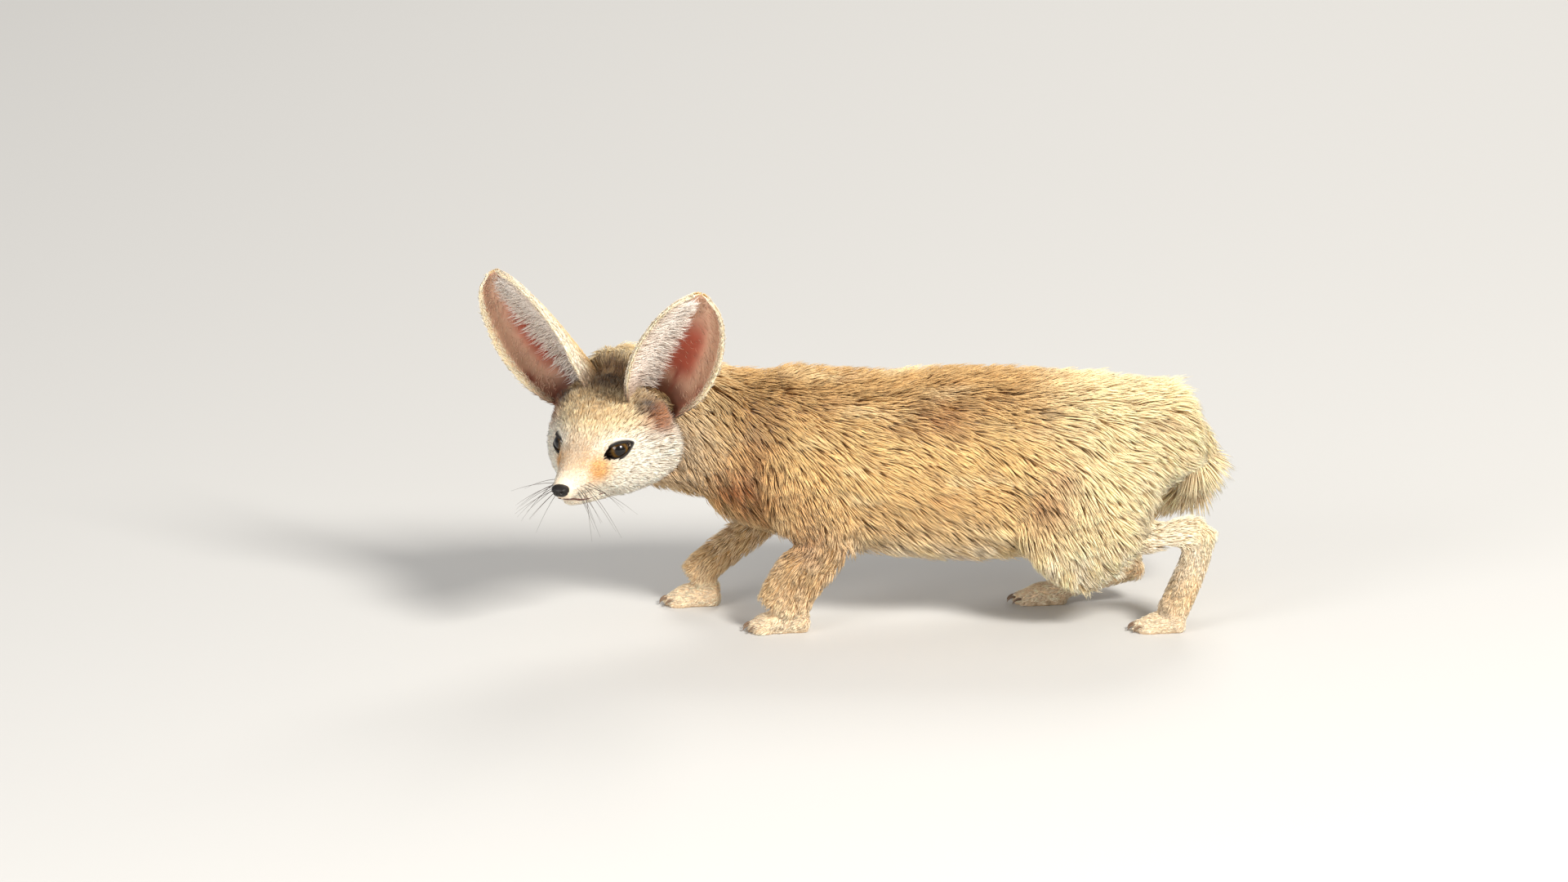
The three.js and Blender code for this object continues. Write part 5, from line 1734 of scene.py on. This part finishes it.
def eye_finish():
    """Rings about the gaze: black pupil, amber iris with fibres, dark edge, brown white of the eye."""
    eye = Finish("fox_eye", {"Roughness": 0.2, "Coat Weight": 0.55, "Coat Roughness": 0.02,
                             "Specular IOR Level": 0.2})
    way = eye.attribute("gaze")
    off = eye.node("VectorMath", {"operation": "MULTIPLY"}, {0: way, 1: (1.0, 1.0, 0.0)})
    distance = eye.node("VectorMath", {"operation": "LENGTH"}, {0: off}, "Value")
    spoke = eye.node("VectorMath", {"operation": "NORMALIZE"}, {0: off})
    fibres = eye.noise(spoke, 9.0, 5.0, 0.65)
    stops = [(place, four(linear(*tone))) for place, tone in IRIS_RINGS]
    rings = eye.node("ValToRGB", {"stops": stops}, {0: distance + 0.06 * (fibres - 0.5)})
    eye.feed(eye.shader, {"Base Color": eye.lit(rings, 0.6 + 0.8 * fibres)})
    return eye.material


EYE = eye_finish()
for eye in eyes:
    eye.data.materials.append(EYE)
print("eye finish with", len(IRIS_RINGS), "rings")


# %% Leather and horn
def leather_finish():
    """The nose: near black, cobbled by small cells, moist on their tops."""
    pad = Finish("nose_leather", {"Specular IOR Level": 0.4, "Coat Weight": 0.12, "Coat Roughness": 0.2})
    cells = pad.node("TexVoronoi", {"feature": "F1"}, {"Vector": pad.place(), "Scale": 1700.0},
                     "Distance")
    fine = pad.noise(pad.place(), 400.0)
    pad.feed(pad.shader, {
        "Base Color": pad.blend(fine, four(linear(9, 7, 6)), four(linear(30, 22, 19))),
        "Roughness": 0.32 + 0.35 * cells,
        "Normal": pad.bump(1 - cells, 0.5, 0.0003),
    })
    return pad.material


def lid_finish():
    """Lids: black moist rims that turn into the face's fine fur."""
    rim = Finish("lid_skin", {"Specular IOR Level": 0.5})
    fine = rim.noise(rim.place(), 1500.0)
    rim.feed(rim.shader, {
        "Base Color": rim.lit(rim.attribute("tint"), 0.85 + 0.3 * fine),
        "Roughness": 0.55 + 0.25 * fine,
        "Normal": rim.bump(fine, 0.3, 0.0003),
    })
    return rim.material


def horn_finish(name, dark, pale, roughness):
    """Claws, whiskers and lips: a plain tone with a slow change along the piece."""
    horn = Finish(name, {"Specular IOR Level": 0.45})
    slow = horn.noise(horn.place(), 180.0)
    horn.feed(horn.shader, {
        "Base Color": horn.blend(slow, four(dark), four(pale)),
        "Roughness": roughness + 0.15 * slow,
        "Normal": horn.bump(horn.noise(horn.place(), 1600.0), 0.15, 0.0002),
    })
    return horn.material


nose.data.materials.append(leather_finish())
LID = lid_finish()
for lid in lids:
    lid.data.materials.append(LID)
lips.data.materials.append(horn_finish("lip_skin", linear(52, 32, 28), linear(120, 76, 66), 0.4))
whiskers.data.materials.append(horn_finish("whisker_hair", linear(30, 22, 18), linear(86, 66, 50), 0.35))
claws.data.materials.append(horn_finish("claw_horn", linear(92, 70, 54), linear(150, 122, 96), 0.35))
print("nose, lid, lip, whisker and claw finishes")

# %% [markdown]
# ## Camera, light and floor
#
# The photograph was taken from the fox's left side, a little above it, with a long lens. The camera
# takes that place and framing. The photo's hard sun could be copied, but it would hide half of the
# coat in shade: here a soft key comes from the camera's right, with a fill and a back light.

# %% Camera
ELEVATION = np.radians(15.0)
DISTANCE = 6.06
target = (np.array([-77.3, 0.0, 101.6]) + SHIFT) * MM
camera = bpy.data.objects.new("camera", bpy.data.cameras.new("camera"))
camera.data.lens = 250
camera.data.sensor_width = 36
camera.data.dof.use_dof = False
camera.location = target + DISTANCE * np.array([0, -np.cos(ELEVATION), np.sin(ELEVATION)])
camera.rotation_euler = (np.pi / 2 - ELEVATION, 0, 0)
bpy.context.scene.collection.objects.link(camera)
bpy.context.scene.camera = camera
print("camera at", np.round(camera.location, 2), "m")


# %% Light and floor
LAMPS = [
    # name, place in m, watts, size in m, colour
    ("key", (1.5, -2.1, 2.0), 150, 0.8, (1.0, 0.97, 0.92)),
    ("fill", (-2.2, -2.2, 1.2), 46, 1.4, (1.0, 0.99, 0.98)),
    ("back", (0.6, 2.2, 1.9), 34, 1.2, (1.0, 0.97, 0.92)),
]
MIDDLE_OF_FOX = (0, 0, 0.1)
FLOOR_HALF = 4


def aimed(place, at):
    """The turn that points a lamp's -Z at a place: tilt from straight down, then heading."""
    way = np.asarray(at, float) - np.asarray(place, float)
    tilt = np.arccos(-way[2] / np.linalg.norm(way))
    return (tilt, 0, np.arctan2(way[1], way[0]) - np.pi / 2)


def soft_light(name, place, power, size, colour):
    """An area lamp aimed at the middle of the fox."""
    lamp = bpy.data.lights.new(name, "AREA")
    lamp.energy = power
    lamp.size = size
    lamp.color = colour
    held = bpy.data.objects.new(name, lamp)
    held.location = place
    held.rotation_euler = aimed(place, MIDDLE_OF_FOX)
    bpy.context.scene.collection.objects.link(held)


for lamp in LAMPS:
    soft_light(*lamp)
world = bpy.data.worlds.new("studio")
world.use_nodes = True
world.node_tree.nodes["Background"].inputs["Color"].default_value = (0.9, 0.91, 0.93, 1)
world.node_tree.nodes["Background"].inputs["Strength"].default_value = 0.34
bpy.context.scene.world = world
bpy.context.scene.view_settings.view_transform = "Standard"

floor_finish = Finish("floor", {"Base Color": (0.6, 0.59, 0.57, 1), "Roughness": 0.85})
floor_corners = FLOOR_HALF * np.array([[-1, -1, 0], [1, -1, 0], [1, 1, 0], [-1, 1, 0]]) / MM - SHIFT
floor = new_piece("floor", floor_corners, np.array([[0, 1, 2, 3]]), smooth=False)
floor.data.materials.append(floor_finish.material)
print("lamps:", len(LAMPS), "and a floor")
